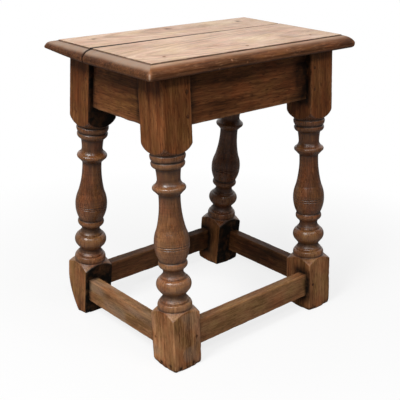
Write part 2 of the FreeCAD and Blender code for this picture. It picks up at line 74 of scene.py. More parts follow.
# The boards' cross-sections: foot and head, inner and outer face, and how round the
# arrises are at inner foot, outer foot, outer head and inner head.
LONG_RAIL = (
    (LEG_LENGTH - RAIL_WIDTH, LEG_LENGTH - 1.6),
    (LONG_RAIL_OUTER - RAIL_THICKNESS, LONG_RAIL_OUTER),
    (1.2, 1.5, 0.6, 0.6),
)
SIDE_RAIL = (
    (FRAME_HEIGHT - RAIL_WIDTH, FRAME_HEIGHT - 0.1),
    (SIDE_RAIL_OUTER - RAIL_THICKNESS, SIDE_RAIL_OUTER),
    (1.2, 3.0, 0.6, 0.6),
)
STRETCHER = (
    (STRETCHER_GAP, STRETCHER_GAP + 45.4),
    (STRETCHER_OUTER - 20.8, STRETCHER_OUTER),
    (1.3, 1.6, 2.2, 1.6),
)

# The turning from the foot block up: each member's run, the radius where it ends,
# and how far its arc stands out (or, below zero, in) from a straight line. The
# shaft's run is what the others leave.
FOOT_BLOCK = 95.0
HEAD_BLOCK = 106.6
TURNING_START = 45.0
SHAFT_RUN = LEG_LENGTH - HEAD_BLOCK - FOOT_BLOCK - 255.5
TURNING = [
    (12.0, 29.3, 0.0),  # foot shoulder
    (12.5, 27.9, 1.7),  # base torus
    (0.6, 26.5, 0.0),
    (10.3, 20.3, -0.8),
    (2.7, 20.7, 0.0),  # low neck
    (7.8, 26.9, 0.0),
    (21.8, 25.5, 4.5),  # ball
    (0.6, 24.3, 0.0),
    (11.2, 17.5, -1.5),
    (7.8, 21.7, -1.1),
    (12.6, 23.4, 2.9),  # ring under the vase
    (1.6, 23.7, 0.0),
    (55.4, 25.3, 6.1),  # vase
    (SHAFT_RUN, 18.5, -2.4),
    (8.2, 25.9, 0.0),
    (8.0, 26.9, 2.1),  # collar
    (0.6, 25.7, 0.0),
    (9.3, 19.7, -1.3),
    (18.5, 21.4, -0.4),  # upper shaft
    (2.5, 22.5, 0.0),
    (9.9, 28.7, 2.6),  # cap ring
    (1.8, 26.4, 0.0),
    (11.0, 30.0, 1.4),  # cap bead
    (1.6, 28.2, 0.0),
    (3.2, 30.4, 0.0),
    (24.0, 45.0, 4.0),  # head shoulder
]
# fine lines cut into the turning, or below zero small beads left standing on it:
# place along the leg, depth and half-width
SCRIBES = [
    (221.8, 0.9, 0.7), (226.0, 0.9, 0.7), (230.2, 0.4, 0.6), (163.4, 1.5, 0.9),
    (166.4, -0.8, 1.3), (122.9, -1.0, 1.6), (119.7, 1.4, 0.8),
]
# where the near foot is chipped: the way round it in degrees, and how high
GOUGES = [(195.0, 6.5), (151.0, 9.0), (120.0, 5.5), (67.0, 7.0)]
# How each leg differs from the drawn one: its girth, how much higher its low members
# sit, where its head goes, the share of that at its foot, and how dry its foot is.
LEG_WAYS = {
    (LEFT, FRONT): (0.3, 0.6, (-0.75, 0.67), 0.0, 0.95),
    (RIGHT, FRONT): (0.0, -1.4, (0.0, 0.0), 0.0, 0.45),
    (LEFT, REAR): (-0.4, -0.3, (0.0, 0.0), 0.0, 0.55),
    (RIGHT, REAR): (0.2, 1.8, (1.25, -1.15), 1.0, 0.3),
}


# Small helpers.

GRAIN_SPREAD = 400.0


def value_noise(points, size, seed):
    """Smooth noise from -1 to 1 at points, with bumps about one size across."""
    table = np.random.default_rng(seed).uniform(-1, 1, (32, 32, 32))
    places = np.asarray(points, float) / size
    cell = np.floor(places).astype(int)
    part = places - cell
    ease = part**3 * (part * (part * 6 - 15) + 10)
    total = np.zeros(places.shape[:-1])
    for corner in np.ndindex(2, 2, 2):
        weight = np.ones_like(total)
        index = []
        for axis, step in enumerate(corner):
            weight = weight * (ease[..., axis] if step else 1 - ease[..., axis])
            index.append((cell[..., axis] + step) % 32)
        total += weight * table[tuple(index)]
    return total


def step_up(low, high, values):
    """A smooth step from 0 at low to 1 at high."""
    share = np.clip((np.asarray(values, float) - low) / (high - low), 0, 1)
    return share * share * (3 - 2 * share)


def spot(values, middle, width):
    """A smooth bump of height 1 about a middle."""
    return np.exp(-(((np.asarray(values, float) - middle) / width) ** 2))


def fade(distance, reach):
    """1 at no distance, and less and less further off."""
    return np.exp(-np.maximum(distance, 0) / reach)


def most(*layers):
    """The largest of several layers, place by place."""
    return reduce(np.maximum, layers)


def soft_min(first, second, softness):
    """The smaller of two numbers, with a rounded change from one to the other."""
    share = np.clip(0.5 + (second - first) / (2 * softness), 0, 1)
    return second * (1 - share) + first * share - softness * share * (1 - share)


def grain_place(random):
    """Where in the endless pattern of the grain a piece is cut from."""
    return random.uniform(-GRAIN_SPREAD, GRAIN_SPREAD, 3)


def grid_faces(rows, columns, wrap, start=0):
    """Quads between the points of a grid, whose last column may join the first."""
    faces = []
    for row in range(rows - 1):
        for column in range(columns if wrap else columns - 1):
            after = (column + 1) % columns
            low, high = start + row * columns, start + (row + 1) * columns
            faces.append((low + column, low + after, high + after, high + column))
    return faces


def fan(ring, centre, outward):
    """Triangles from a ring of points to the point in its middle."""
    pairs = zip(ring, ring[1:] + ring[:1])
    return [(a, b, centre) if outward else (b, a, centre) for a, b in pairs]


def ring_middles(points, grain, dirt):
    """The middles of a tube's two end rings, as Skin.tube takes them."""
    return [(points[row].mean(0), grain[row].mean(0), {"dirt": dirt}) for row in (0, -1)]


def new_object(name, data):
    thing = bpy.data.objects.new(name, data)
    bpy.context.scene.collection.objects.link(thing)
    return thing


# the facts carry painted light as well: painted highlights with the worn places, painted shade with the
# soiled ones, a painted sheen with the weathered ones
FACTS = ("wear", "dirt", "patina", "turned")
SHARP_ANGLE = math.radians(38.0)
WOODS = {}


class Skin:
    """Points with their surface facts, gathered into one mesh. The facts are how worn a point is, with
    painted highlights; how soiled it is, with painted shade; how weathered it is, with a painted sheen; and
    whether it was turned."""

    def __init__(self):
        self.points, self.faces, self.grain = [], [], []
        self.facts = {label: [] for label in FACTS}
        self.count = 0

    def add(self, points, grain, **facts):
        """Adds points, and gives the number of the first."""
        start = self.count
        points = np.asarray(points, float).reshape(-1, 3)
        self.points.append(points)
        self.grain.append(np.asarray(grain, float).reshape(-1, 3))
        for label in FACTS:
            values = np.ravel(facts.get(label, 0.0))
            self.facts[label].append(np.broadcast_to(values, len(points)).astype(float))
        self.count += len(points)
        return start

    def tube(self, points, grain, ends, **facts):
        """Adds rings of points as a tube. A fan closes each end, and ends holds the
        point in its middle, that point's grain and its facts."""
        rows, columns = points.shape[:2]
        start = self.add(points, grain, **facts)
        self.faces += grid_faces(rows, columns, True, start)
        for row, (middle, middle_grain, end_facts) in zip((0, rows - 1), ends):
            centre = self.add(middle, middle_grain, **end_facts)
            first = start + row * columns
            self.faces += fan(list(range(first, first + columns)), centre, row > 0)

    def make(self, name, slot, mirrored=False):
        """The piece that stands for the CAD node of the same name."""
        faces = [face[::-1] for face in self.faces] if mirrored else self.faces
        mesh = bpy.data.meshes.new(name)
        mesh.from_pydata((np.concatenate(self.points) * MM).tolist(), [], faces)
        grain = mesh.attributes.new("grain", "FLOAT_VECTOR", "POINT")
        grain.data.foreach_set("vector", (np.concatenate(self.grain) * MM).astype(np.float32).ravel())
        for label, values in self.facts.items():
            fact = mesh.attributes.new(label, "FLOAT", "POINT")
            fact.data.foreach_set("value", np.concatenate(values).astype(np.float32))
        mesh.validate()
        mesh.shade_smooth()
        mesh.set_sharp_from_angle(angle=SHARP_ANGLE)
        mesh.materials.append(WOODS[slot])
        piece = new_object(name, mesh)
        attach(piece, "root")
        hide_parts(name)


# The legs.

# heights of the rows of points by the floor, and along the leg where its blocks are
# chipped
FOOT_ROWS = [0, 0.5, 1.2, 2.2, 3.6, 5.4, 7.6, 10.0]
FOOT_RUN, HEAD_RUN = (4, 92), (415, 505)
# a radius past the corners of the square blocks
PAST_BLOCK = 60.0


def arc_points(start, end, bulge, spacing):
    """Points after start up to end, along a line or along the arc through a middle
    point that stands out by bulge."""
    (r0, t0), (r1, t1) = start, end
    count = max(3, math.ceil(math.hypot(r1 - r0, t1 - t0) / spacing))
    shares = np.arange(1, count + 1) / count
    if not bulge:
        return np.stack([r0 + (r1 - r0) * shares, t0 + (t1 - t0) * shares], 1)
    rm, tm = (r0 + r1) / 2 + bulge, (t0 + t1) / 2
    system = np.array([[r1 - r0, t1 - t0], [rm - r0, tm - t0]]) * 2
    sums = [r1**2 + t1**2 - r0**2 - t0**2, rm**2 + tm**2 - r0**2 - t0**2]
    centre = np.linalg.solve(system, sums)
    radius = math.hypot(r0 - centre[0], t0 - centre[1])
    first = math.atan2(t0 - centre[1], r0 - centre[0])
    turn = math.atan2(t1 - centre[1], r1 - centre[0]) - first
    turn = (turn + math.pi) % (2 * math.pi) - math.pi
    angles = first + turn * shares
    return centre + radius * np.stack([np.cos(angles), np.sin(angles)], 1)


def turned_outline():
    """The turned part's outline in fine steps, a little softened, with its scribes."""
    start = (TURNING_START, FOOT_BLOCK)
    fine = [np.array([start])]
    for run, radius, bulge in TURNING:
        end = (radius, start[1] + run)
        fine.append(arc_points(start, end, bulge, 0.25))
        start = end
    fine = np.concatenate(fine)
    kernel = np.exp(-0.5 * (np.arange(-4, 5) / 1.3) ** 2)
    padded = np.pad(fine, ((4, 4), (0, 0)), "edge")
    soft = [np.convolve(padded[:, i], kernel / kernel.sum(), "valid") for i in (0, 1)]
    soft = np.stack(soft, 1)
    soft[:4], soft[-4:] = fine[:4], fine[-4:]
    for place, depth, width in SCRIBES:
        soft[:, 0] -= depth * spot(soft[:, 1], place, width)
    return soft


def leg_profile():
    """Radius and place along the leg of every row of points, from floor to head."""
    soft = turned_outline()
    kept, travelled, turned = [soft[0]], 0.0, 0.0
    for number in range(1, len(soft) - 1):
        before, here, after = soft[number - 1 : number + 2]
        way_in, way_out = here - before, after - here
        travelled += np.linalg.norm(way_in)
        cross = way_in[0] * way_out[1] - way_in[1] * way_out[0]
        turned += abs(math.atan2(cross, way_in @ way_out))
        by_scribe = min(abs(here[1] - place) for place, _, _ in SCRIBES) < 1.8
        if travelled > (0.45 if by_scribe else 1.7) or turned > 0.15:
            kept.append(here)
            travelled = turned = 0.0
    kept.append(soft[-1])
    foot = np.concatenate([FOOT_ROWS, np.arange(12.4, FOOT_BLOCK - 3, 2.4)])
    head = np.arange(kept[-1][1] + 2.5, LEG_LENGTH - 4, 3.0)
    head = np.concatenate([head, LEG_LENGTH - np.array([2.5, 1.2, 0.0])])
    wide = [np.stack([np.full_like(along, PAST_BLOCK), along], 1) for along in (foot, head)]
    return np.concatenate([wide[0], np.array(kept), wide[1]])


def row_shapes(profile):
    """For each row, how much it stands out from the members about it, how much it
    lies in from them, and how deep it is in a narrow groove, each from 0 to 1."""
    step = 0.25
    even = np.arange(0, LEG_LENGTH, step)
    values = np.interp(even, profile[:, 1], np.minimum(profile[:, 0], HALF_LEG))
    kernel = np.exp(-0.5 * (np.arange(-96, 97) * step / 8.0) ** 2)
    broad = np.convolve(np.pad(values, 96, "edge"), kernel / kernel.sum(), "valid")
    window = np.lib.stride_tricks.sliding_window_view
    reach = 11
    widest = window(np.pad(values, reach, "edge"), 2 * reach + 1).max(-1)
    closed = window(np.pad(widest, reach, "edge"), 2 * reach + 1).min(-1)
    ridge = np.clip((values - broad) / 2.6, 0, 1)
    hollow = np.clip((broad - values) / 2.6, 0, 1)
    groove = np.clip((closed - values) / 1.1, 0, 1)
    return [np.interp(profile[:, 1], even, shape)[:, None] for shape in (ridge, hollow, groove)]


def octant_angles():
    """The ways round a leg, closer together towards the corners of its square."""
    half = np.radians([0, 5.5, 11, 16.5, 22, 27, 31, 34.5, 37.3, 39.5, 41.2, 42.6, 43.9])
    quarter = np.concatenate([half, [math.pi / 4], math.pi / 2 - half[:0:-1]])
    return np.concatenate([quarter + math.pi / 2 * turn for turn in range(4)])


def square_reach(angles, half, corner):
    """Distance from the middle of a square to its side, its corners rounded."""
    cosine, sine = np.abs(np.cos(angles)), np.abs(np.sin(angles))
    flat = half / np.maximum(cosine, sine)
    middle = half - corner
    along = middle * (cosine + sine)
    inside = np.maximum(along**2 - (2 * middle**2 - corner**2), 0)
    rounded = along + np.sqrt(inside)
    return np.where(flat * np.minimum(cosine, sine) > middle, rounded, flat)


PROFILE = leg_profile()
ANGLES = octant_angles()
RIDGE, HOLLOW, GROOVE = row_shapes(PROFILE)


def leg_place(x_side, y_side, across, outward, along):
    """From a leg's own frame to the stool's. Outward is towards the front or rear."""
    x = x_side * LEG_REACH + across
    y = y_side * (FOOT_REACH - along * math.sin(TILT) + outward * math.cos(TILT))
    z = along * math.cos(TILT) + outward * math.sin(TILT)
    return np.stack([x, y, z], -1)


def foot_gouges(x_side, y_side, angles, along, circle, seed):
    """Where the foot's faces are chipped along the floor, from 0 to 1."""
    patches = value_noise(circle * [1, 1, 1.5], 6.5, seed)
    total = 0.5 * step_up(0.05, 0.4, patches) * (1 - step_up(3, 10, along))
    if (x_side, y_side) == (LEFT, FRONT):
        for around, height in GOUGES:
            total = most(total, spot(np.degrees(angles), around, 6.0) * spot(along, height, 3.6))
    return total


def block_rounding(angles, along, circle, seed):
    """How far the blocks' arrises are rounded: unevenly, more by the floor and under
    the top, and with chips knocked out of them."""
    random = np.random.default_rng(seed)
    total = 1.7 + 0.9 * value_noise(circle * [1, 1, 0.6], 16, seed) + 0.4 * value_noise(circle, 5, seed + 1)
    total = total + 1.5 * (1 - step_up(6, 60, along)) + 1.3 * step_up(200, 400, along)
    for _ in range(10):
        run = FOOT_RUN if random.random() < 0.7 else HEAD_RUN
        place = random.uniform(*run)
        corner = math.pi / 4 + math.pi / 2 * random.integers(4)
        length, extra = random.uniform(1.5, 5), random.uniform(0.6, 1.9)
        near = np.cos(angles - corner) > 0.85
        total = total + near * extra * spot(along, place, length)
    return np.clip(total, 0.6, 9)


def block_reach(x_side, y_side, angles, along, circle, gouge, seed):
    """How far the square blocks reach from the leg's axis, with faces planed by hand
    and feet worn by damp floors."""
    waves = 0.1 * value_noise(circle * [1, 1, 0.35], 14, seed + 2) + 0.06 * value_noise(circle, 6, seed + 3)
    blocks = square_reach(angles, HALF_LEG, block_rounding(angles, along, circle, seed)) - 0.16 + waves
    edge_height = 2.0 + 5.0 * np.sin(2 * angles) ** 4 + 0.9 * value_noise(circle, 7, seed + 6)
    edge = np.clip(1 - along / edge_height, 0, 1)
    blocks = blocks - 0.8 * edge_height * (1 - np.sqrt(1 - edge**2)) - 1.8 * gouge
    if (x_side, y_side) == (LEFT, REAR):
        # the outer corner of this foot is worn right away
        plane = 43.0 - 25.0 * np.clip(1 - along / 80.0, 0, 1) ** 2
        facing = np.cos(angles - 0.75 * math.pi)
        cut = np.where(facing > 0.2, plane / np.maximum(facing, 0.2), 200.0)
        blocks = soft_min(blocks, cut, 3.0)
    return blocks


def off_outline(place, height, section):
    """How far points of a leg's face lie from the outline of a board that meets it."""
    (foot, head), (inner, outer), _ = section
    return np.hypot(most(inner - place, place - outer, 0), most(foot - height, height - head, 0))


def leg_grime_and_shade(x_side, y_side, across, outward, height):
    """Grime with painted shade on a leg's two inner faces, about the ends of rails and stretchers, and
    painted shade all over the rear legs' faces under the stool."""
    inner_x = step_up(HALF_LEG - 3, HALF_LEG - 1, -x_side * across)
    inner_y = step_up(HALF_LEG - 3, HALF_LEG - 1, -outward)
    rails = (FRAME_HEIGHT - RAIL_WIDTH, FRAME_HEIGHT)
    # painted shade: the rear legs' faces towards the front, under the top, are darkened all over
    total = inner_y * (y_side == REAR)
    # on the inner faces about the ends of rails and stretchers: soiling with painted shade
    for face, place, board in ((inner_x, outward, LONG_RAIL), (inner_y, x_side * across, SIDE_RAIL)):
        off_rail = off_outline(place, height, (rails, *board[1:]))
        off_bar = off_outline(place, height, STRETCHER)
        total = most(total, face * spot(np.minimum(off_rail, off_bar), 0, 14.0))
    return total


def leg_wear(x_side, dryness, in_turning, across, outward, along, angles):
    """Rubbed members and arrises, most of all low down and on dry legs. The right legs' arrises are paler
    still, as a painted highlight on top of the rubbing.
    """
    low = 1 - step_up(60, 240, along)
    arris = spot(np.abs(across) - np.abs(outward), 0, 1.9) * (np.abs(np.sin(2 * angles)) > 0.9)
    members = RIDGE * (0.2 + 0.15 * low) + 0.1 * dryness**3
    # the right legs' arrises get a painted highlight as well as rubbing
    arrises = arris * (0.12 + 0.35 * (x_side == RIGHT) + 0.5 * low)
    return np.where(in_turning, members, arrises) * (0.3 + 0.7 * dryness)


def leg_dirt(in_turning, along, gouge, grime_and_shade):
    """Dirt in hollows, grooves and chips and by the floor, painted shade in a band under the top, and soiling
    with painted shade on the inner faces."""
    turned = np.where(in_turning, most(0.6 * HOLLOW, 0.88 * GROOVE), 0.0)
    by_floor = 0.5 * (1 - step_up(1, 5, along)) + 1.1 * gouge
    # painted shade: a darker band at the head, under the top board
    by_top = 0.5 * step_up(LEG_LENGTH - 14, LEG_LENGTH - 1, along)
    return np.clip(most(turned, by_floor, by_top, 1.05 * grime_and_shade), 0, 1)


def leg_patina(dryness, in_turning, along, circle, seed):
    """The foot block is dry, and on dry legs the low turning is too."""
    above = step_up(FOOT_BLOCK + 6, FOOT_BLOCK + 14, along)
    dry = dryness * (1 - above) + 0.35 * dryness**2 * in_turning * above * (1 - step_up(130, 300, along))
    return dry * np.clip(1 + 0.5 * value_noise(circle, 26, seed + 8), 0, 1.2)


def make_leg(x_side, y_side, seed):
    girth, lift, shift, foot_shift, dryness = LEG_WAYS[x_side, y_side]
    radius, along, angles = np.broadcast_arrays(PROFILE[:, :1], PROFILE[:, 1:], ANGLES[None, :])
    circle = np.stack([np.cos(angles) * 30, np.sin(angles) * 30, along], -1)
    gouge = foot_gouges(x_side, y_side, angles, along, circle, seed + 7)
    blocks = block_reach(x_side, y_side, angles, along, circle, gouge, seed)
    turned = radius + girth - 0.1 + 0.12 * value_noise(circle * [1, 1, 1.2], 22, seed + 4)
    turned = turned + 0.05 * value_noise(circle, 4, seed + 5)
    in_turning = turned < blocks
    reach = soft_min(blocks, turned, 0.5)
    across, outward = reach * np.cos(angles), reach * np.sin(angles)
    lifted = along + lift * spot(along, 140.0, 45.0)
    # foot and head are cut level, though the leg leans
    level = (1 - step_up(0, 60, along)) + step_up(430, LEG_LENGTH, along)
    points = leg_place(x_side, y_side, across, outward, lifted - outward * LEAN * level)
    share = foot_shift + (1 - foot_shift) * along / LEG_LENGTH
    points[..., :2] += share[..., None] * shift
    # soiling and painted shade on the inner faces, and painted shade on the rear legs' front faces
    grime_and_shade = leg_grime_and_shade(x_side, y_side, across, outward, points[..., 2])
    grime_and_shade = grime_and_shade * (~in_turning | (along < FOOT_BLOCK + 11))
    wear = leg_wear(x_side, dryness, in_turning, across, outward, along, angles)
    grain = np.stack([across, outward, along], -1) + grain_place(np.random.default_rng(seed))
    skin = Skin()
    skin.tube(
        points, grain, ring_middles(points, grain, 0.8),
        wear=wear * (1 - np.clip(grime_and_shade, 0, 1)), dirt=leg_dirt(in_turning, along, gouge, grime_and_shade),
        patina=leg_patina(dryness, in_turning, along, circle, seed), turned=in_turning,
    )
    skin.make(f"leg_{Y_NAMES[y_side]}_{X_NAMES[x_side]}", "leg_oak", mirrored=y_side == FRONT)


# Rails and stretchers.

BOARD_ROWS = 111
# about half a board's length, along which its unevenness is laid out
HALF_BOARD = 145.0
# a board's darkening at its two ends, and the shares of its length between which it changes
CLEAN = ((0.0, 0.0), (-1.0, 1.0))


def section_loop(thick_steps, width_steps):
    """Round a board's cross-section: the side, the share along it, and past its end
    the share of the way round the arris."""
    loop = []
    for side in range(4):
        steps = width_steps if side % 2 else thick_steps
        loop += [(side, share, 0.0) for share in np.linspace(0, 1, steps + 1)]
        loop += [(side, 1.0, turn) for turn in (0.2, 0.4, 0.6, 0.8)]
    return np.array(loop).T


def board_section(length, side, part, turn, section, seed):
    """The width and thickness of points round a board, with uneven arrises and faces
    planed by hand, and the same places before the planing."""
    (low, high), (inner, outer), rounds = section
    corners = np.array([(low, inner), (low, outer), (high, outer), (high, inner)])
    ways = np.array([(0, 1), (1, 0), (0, -1), (-1, 0)], float)
    after = (side + 1) % 4

    def rounding(corner):
        stem = np.stack([length, corner * 40.0, np.zeros_like(length)], -1)
        uneven = 1 + 0.4 * value_noise(stem, 18, seed) + 0.2 * value_noise(stem, 5, seed + 1)
        return (np.array(rounds)[corner] * uneven)[..., None]

    begin = corners[side] + ways[side] * rounding(side)
    finish = corners[after] - ways[side] * rounding(after)
    flat = begin + (finish - begin) * part[..., None]
    angle = (turn * math.pi / 2)[..., None]
    swing = ways[after] * (1 - np.cos(angle)) + ways[side] * np.sin(angle)
    curved = finish + rounding(after) * swing
    width, thick = np.moveaxis(np.where((turn > 0)[..., None], curved, flat), -1, 0)
    around = np.stack([length, width, thick], -1)
    dip = 0.13 + 0.08 * value_noise(around * [0.4, 1, 1], 17, seed + 2)
    dip = dip + 0.05 * value_noise(around, 6, seed + 3)
    width = width - np.sign(width - (low + high) / 2) * dip * (side % 2 == 0)
    thick = thick - np.sign(thick - (inner + outer) / 2) * dip
    return width, thick, around


def make_board(name, lie, section, seed, patina=0.0, darkening=CLEAN, curl=0.0):
    """A rail or stretcher. Lie comes from long_lie or side_lie, section and soil are
    laid out as above, and curl is how far the outer face turns in at the rear end."""
    place, half_length, mirrored = lie
    (low, high), (inner, outer), _ = section
    side, part, turn = section_loop(6, max(8, round((high - low) / 3.5)))
    even = np.linspace(-1, 1, BOARD_ROWS)
    share = 0.55 * even + 0.45 * np.sin(even * math.pi / 2)
    share, side, part, turn = np.broadcast_arrays(share[:, None], side.astype(int), part, turn)
    width, thick, around = board_section(share * HALF_BOARD, side, part, turn, section, seed)
    reach = half_length(width)
    off_leg = np.maximum(reach - np.abs(share * reach) - EMBEDDED, 0)
    outer_half = thick > (inner + outer) / 2
    thick = thick - curl * step_up(0.5, 0.9, share) * fade(off_leg, 3.0) * outer_half
    points = place(share * reach, width, thick)
    arris = most(turn > 0, fade(np.minimum(part, 1 - part) * (high - low), 2.0))
    wear = 0.5 * arris + 0.25 * fade(width - low, 4.0)
    wear = wear * (0.65 + 0.45 * value_noise(around, 20, seed + 4))
    (first, last), (change_start, change_end) = darkening
    changed = step_up(change_start, change_end, share + 0.1 * value_noise(around, 12, seed + 7))
    # the ends by the legs are darkened: a dark joint, with painted shade where the board is set back from the
    # leg
    ragged = (high - low) / 7.0 + 4.0 * value_noise(around, 9, seed + 6)
    dirt = most(first + (last - first) * changed, 0.95 * spot(off_leg, 0, ragged))
    dry = patina * np.clip(1 + 0.4 * value_noise(around * [0.4, 1, 1], 22, seed + 5), 0, 1.2)
    grain = np.stack([width, thick, share * reach], -1) + grain_place(np.random.default_rng(seed))
    skin = Skin()
    ends = ring_middles(points, grain, 1.0)
    skin.tube(points, grain, ends, wear=np.clip(wear, 0, 1), dirt=dirt, patina=dry)
    skin.make(name, "rail_oak", mirrored)


def long_lie(y_side):
    """How a front or rear board lies: its place in the stool's frame, half its length
    at a width, and whether it is mirrored."""

    def place(length, width, thick):
        y = y_side * (FOOT_REACH - width * math.sin(TILT) + thick * math.cos(TILT))
        z = width * math.cos(TILT) + thick * math.sin(TILT)
        return np.stack([length, y, z], -1)

    def half_length(width):
        return np.full_like(width, LEG_REACH - HALF_LEG + EMBEDDED)

    return place, half_length, y_side == REAR


def side_lie(x_side):
    """The same for a left or right board."""

    def place(length, width, thick):
        return np.stack([x_side * (LEG_REACH + thick), length, width], -1)

    def half_length(width):
        return FOOT_REACH - width * LEAN - HALF_LEG / math.cos(TILT) + EMBEDDED

    return place, half_length, x_side == LEFT


# The top.

# small pale chips in the front moulding: place along it, height and size
CHIPS = [(-72.0, 14.0, 1.6), (-38.0, 6.5, 1.3), (-100.0, 3.5, 1.2), (61.0, 15.0, 1.0)]
# the middle of each board's growth rings: how far back, up from the underside, and along
PITHS = {FRONT: (-76.0, -12.0, 10.0), REAR: (100.0, -22.0, 60.0)}
# how dark the stain about a peg is
PEG_STAINS = {FRONT: 0.35, REAR: 0.75}
# how far the left corners are rounded at the edge, and the right ones
LEFT_ROUNDS, RIGHT_ROUND = {FRONT: 6.6, REAR: 2.6}, 1.0
STATION_SPACING = 2.2
# the groove inside the moulding: how far in from the edge, and how high
QUIRK = [
    (17.5, 22.1), (17.9, 21.9), (18.6, 21.9), (18.86, 22.5), (18.95, 23.3), (19.15, 23.8), (19.8, 24.0),
]


def bulged(start, end, bulge_in, bulge_up, shares):
    """Points of the arc from start to end that bends through the moved middle."""
    start, end, shares = np.array(start), np.array(end), np.asarray(shares)[:, None]
    control = (start + end) / 2 + 2 * np.array([bulge_in, bulge_up])
    return (1 - shares) ** 2 * start + 2 * shares * (1 - shares) * control + shares**2 * end


def moulding_profile():
    """The moulded edge from the underside up: how far in from the edge, and how high."""
    under = bulged((4.5, 0.0), (0.0, 5.5), -0.8, -0.8, np.linspace(0, 1, 8))
    nosing = [(0.0, 7.0), (0.0, 8.6)]
    ovolo = bulged((0.0, 10.0), (17.3, 22.3), -1.9, 1.9, np.linspace(0, 1, 21))
    return np.concatenate([under, nosing, ovolo, QUIRK])


def edge_stations(length):
    """Places along an edge, closer together near its ends."""
    near = np.array([0, 0.5, 1.1, 1.9, 2.9, 4.1, 5.6, 7.6, 10.2])
    count = round((length - 2 * near[-1]) / STATION_SPACING)
    middle = np.linspace(near[-1], length - near[-1], count + 1)
    return np.concatenate([near[:-1], middle, length - near[-2::-1]])


def with_chips(places):
    """More places along the top where its front is chipped."""
    extra = [chip[0] + TOP_LENGTH / 2 + step for chip in CHIPS for step in (-1.7, -0.8, 0, 0.8, 1.7)]
    kept = [place for place in places if all(abs(place - other) > 0.7 for other in extra)]
    return np.sort(np.concatenate([kept, extra]))


def moulding_ring(seam, inset, round_left, round_right, share_x, share_y):
    """One turn of the moulding round three edges of a board, from seam to seam: its
    plan places, with the mitred corners rounded."""
    reach_x, reach_y = TOP_LENGTH / 2 - inset, TOP_DEPTH / 2 - inset
    run_y = seam + (reach_y - seam) * share_y
    run_x = -reach_x + 2 * reach_x * share_x

    def rounded(gap, radius):
        near = gap < radius
        turn = math.pi / 4 * (1 - np.clip(gap / radius, 0, 1))
        return near, radius * (1 - np.sin(turn)), radius * (1 - np.cos(turn))

    sides = []
    for x_side, radius in ((LEFT, round_left), (RIGHT, round_right)):
        near, along, across = rounded(reach_y - run_y, radius)
        x = np.where(near, reach_x - across, reach_x)
        sides.append(np.stack([x_side * x, np.where(near, reach_y - along, run_y)], -1))
    near, along, across = rounded(reach_x - np.abs(run_x), np.where(run_x < 0, round_left, round_right))
    x = np.where(near, reach_x - along, np.abs(run_x))
    front = np.stack([np.sign(run_x) * x, np.where(near, reach_y - across, reach_y)], -1)
    return np.concatenate([sides[0], front[1:-1], sides[1][::-1]])


def top_peg_places(y_side):
    """Where one board is pegged down: into its two legs and into the rail's middle."""
    places = [(x_side * LEG_REACH, y_side * HEAD_REACH) for x_side in (LEFT, RIGHT)]
    return places + [(0.0, y_side * (HEAD_REACH + RAIL_MIDDLE))]


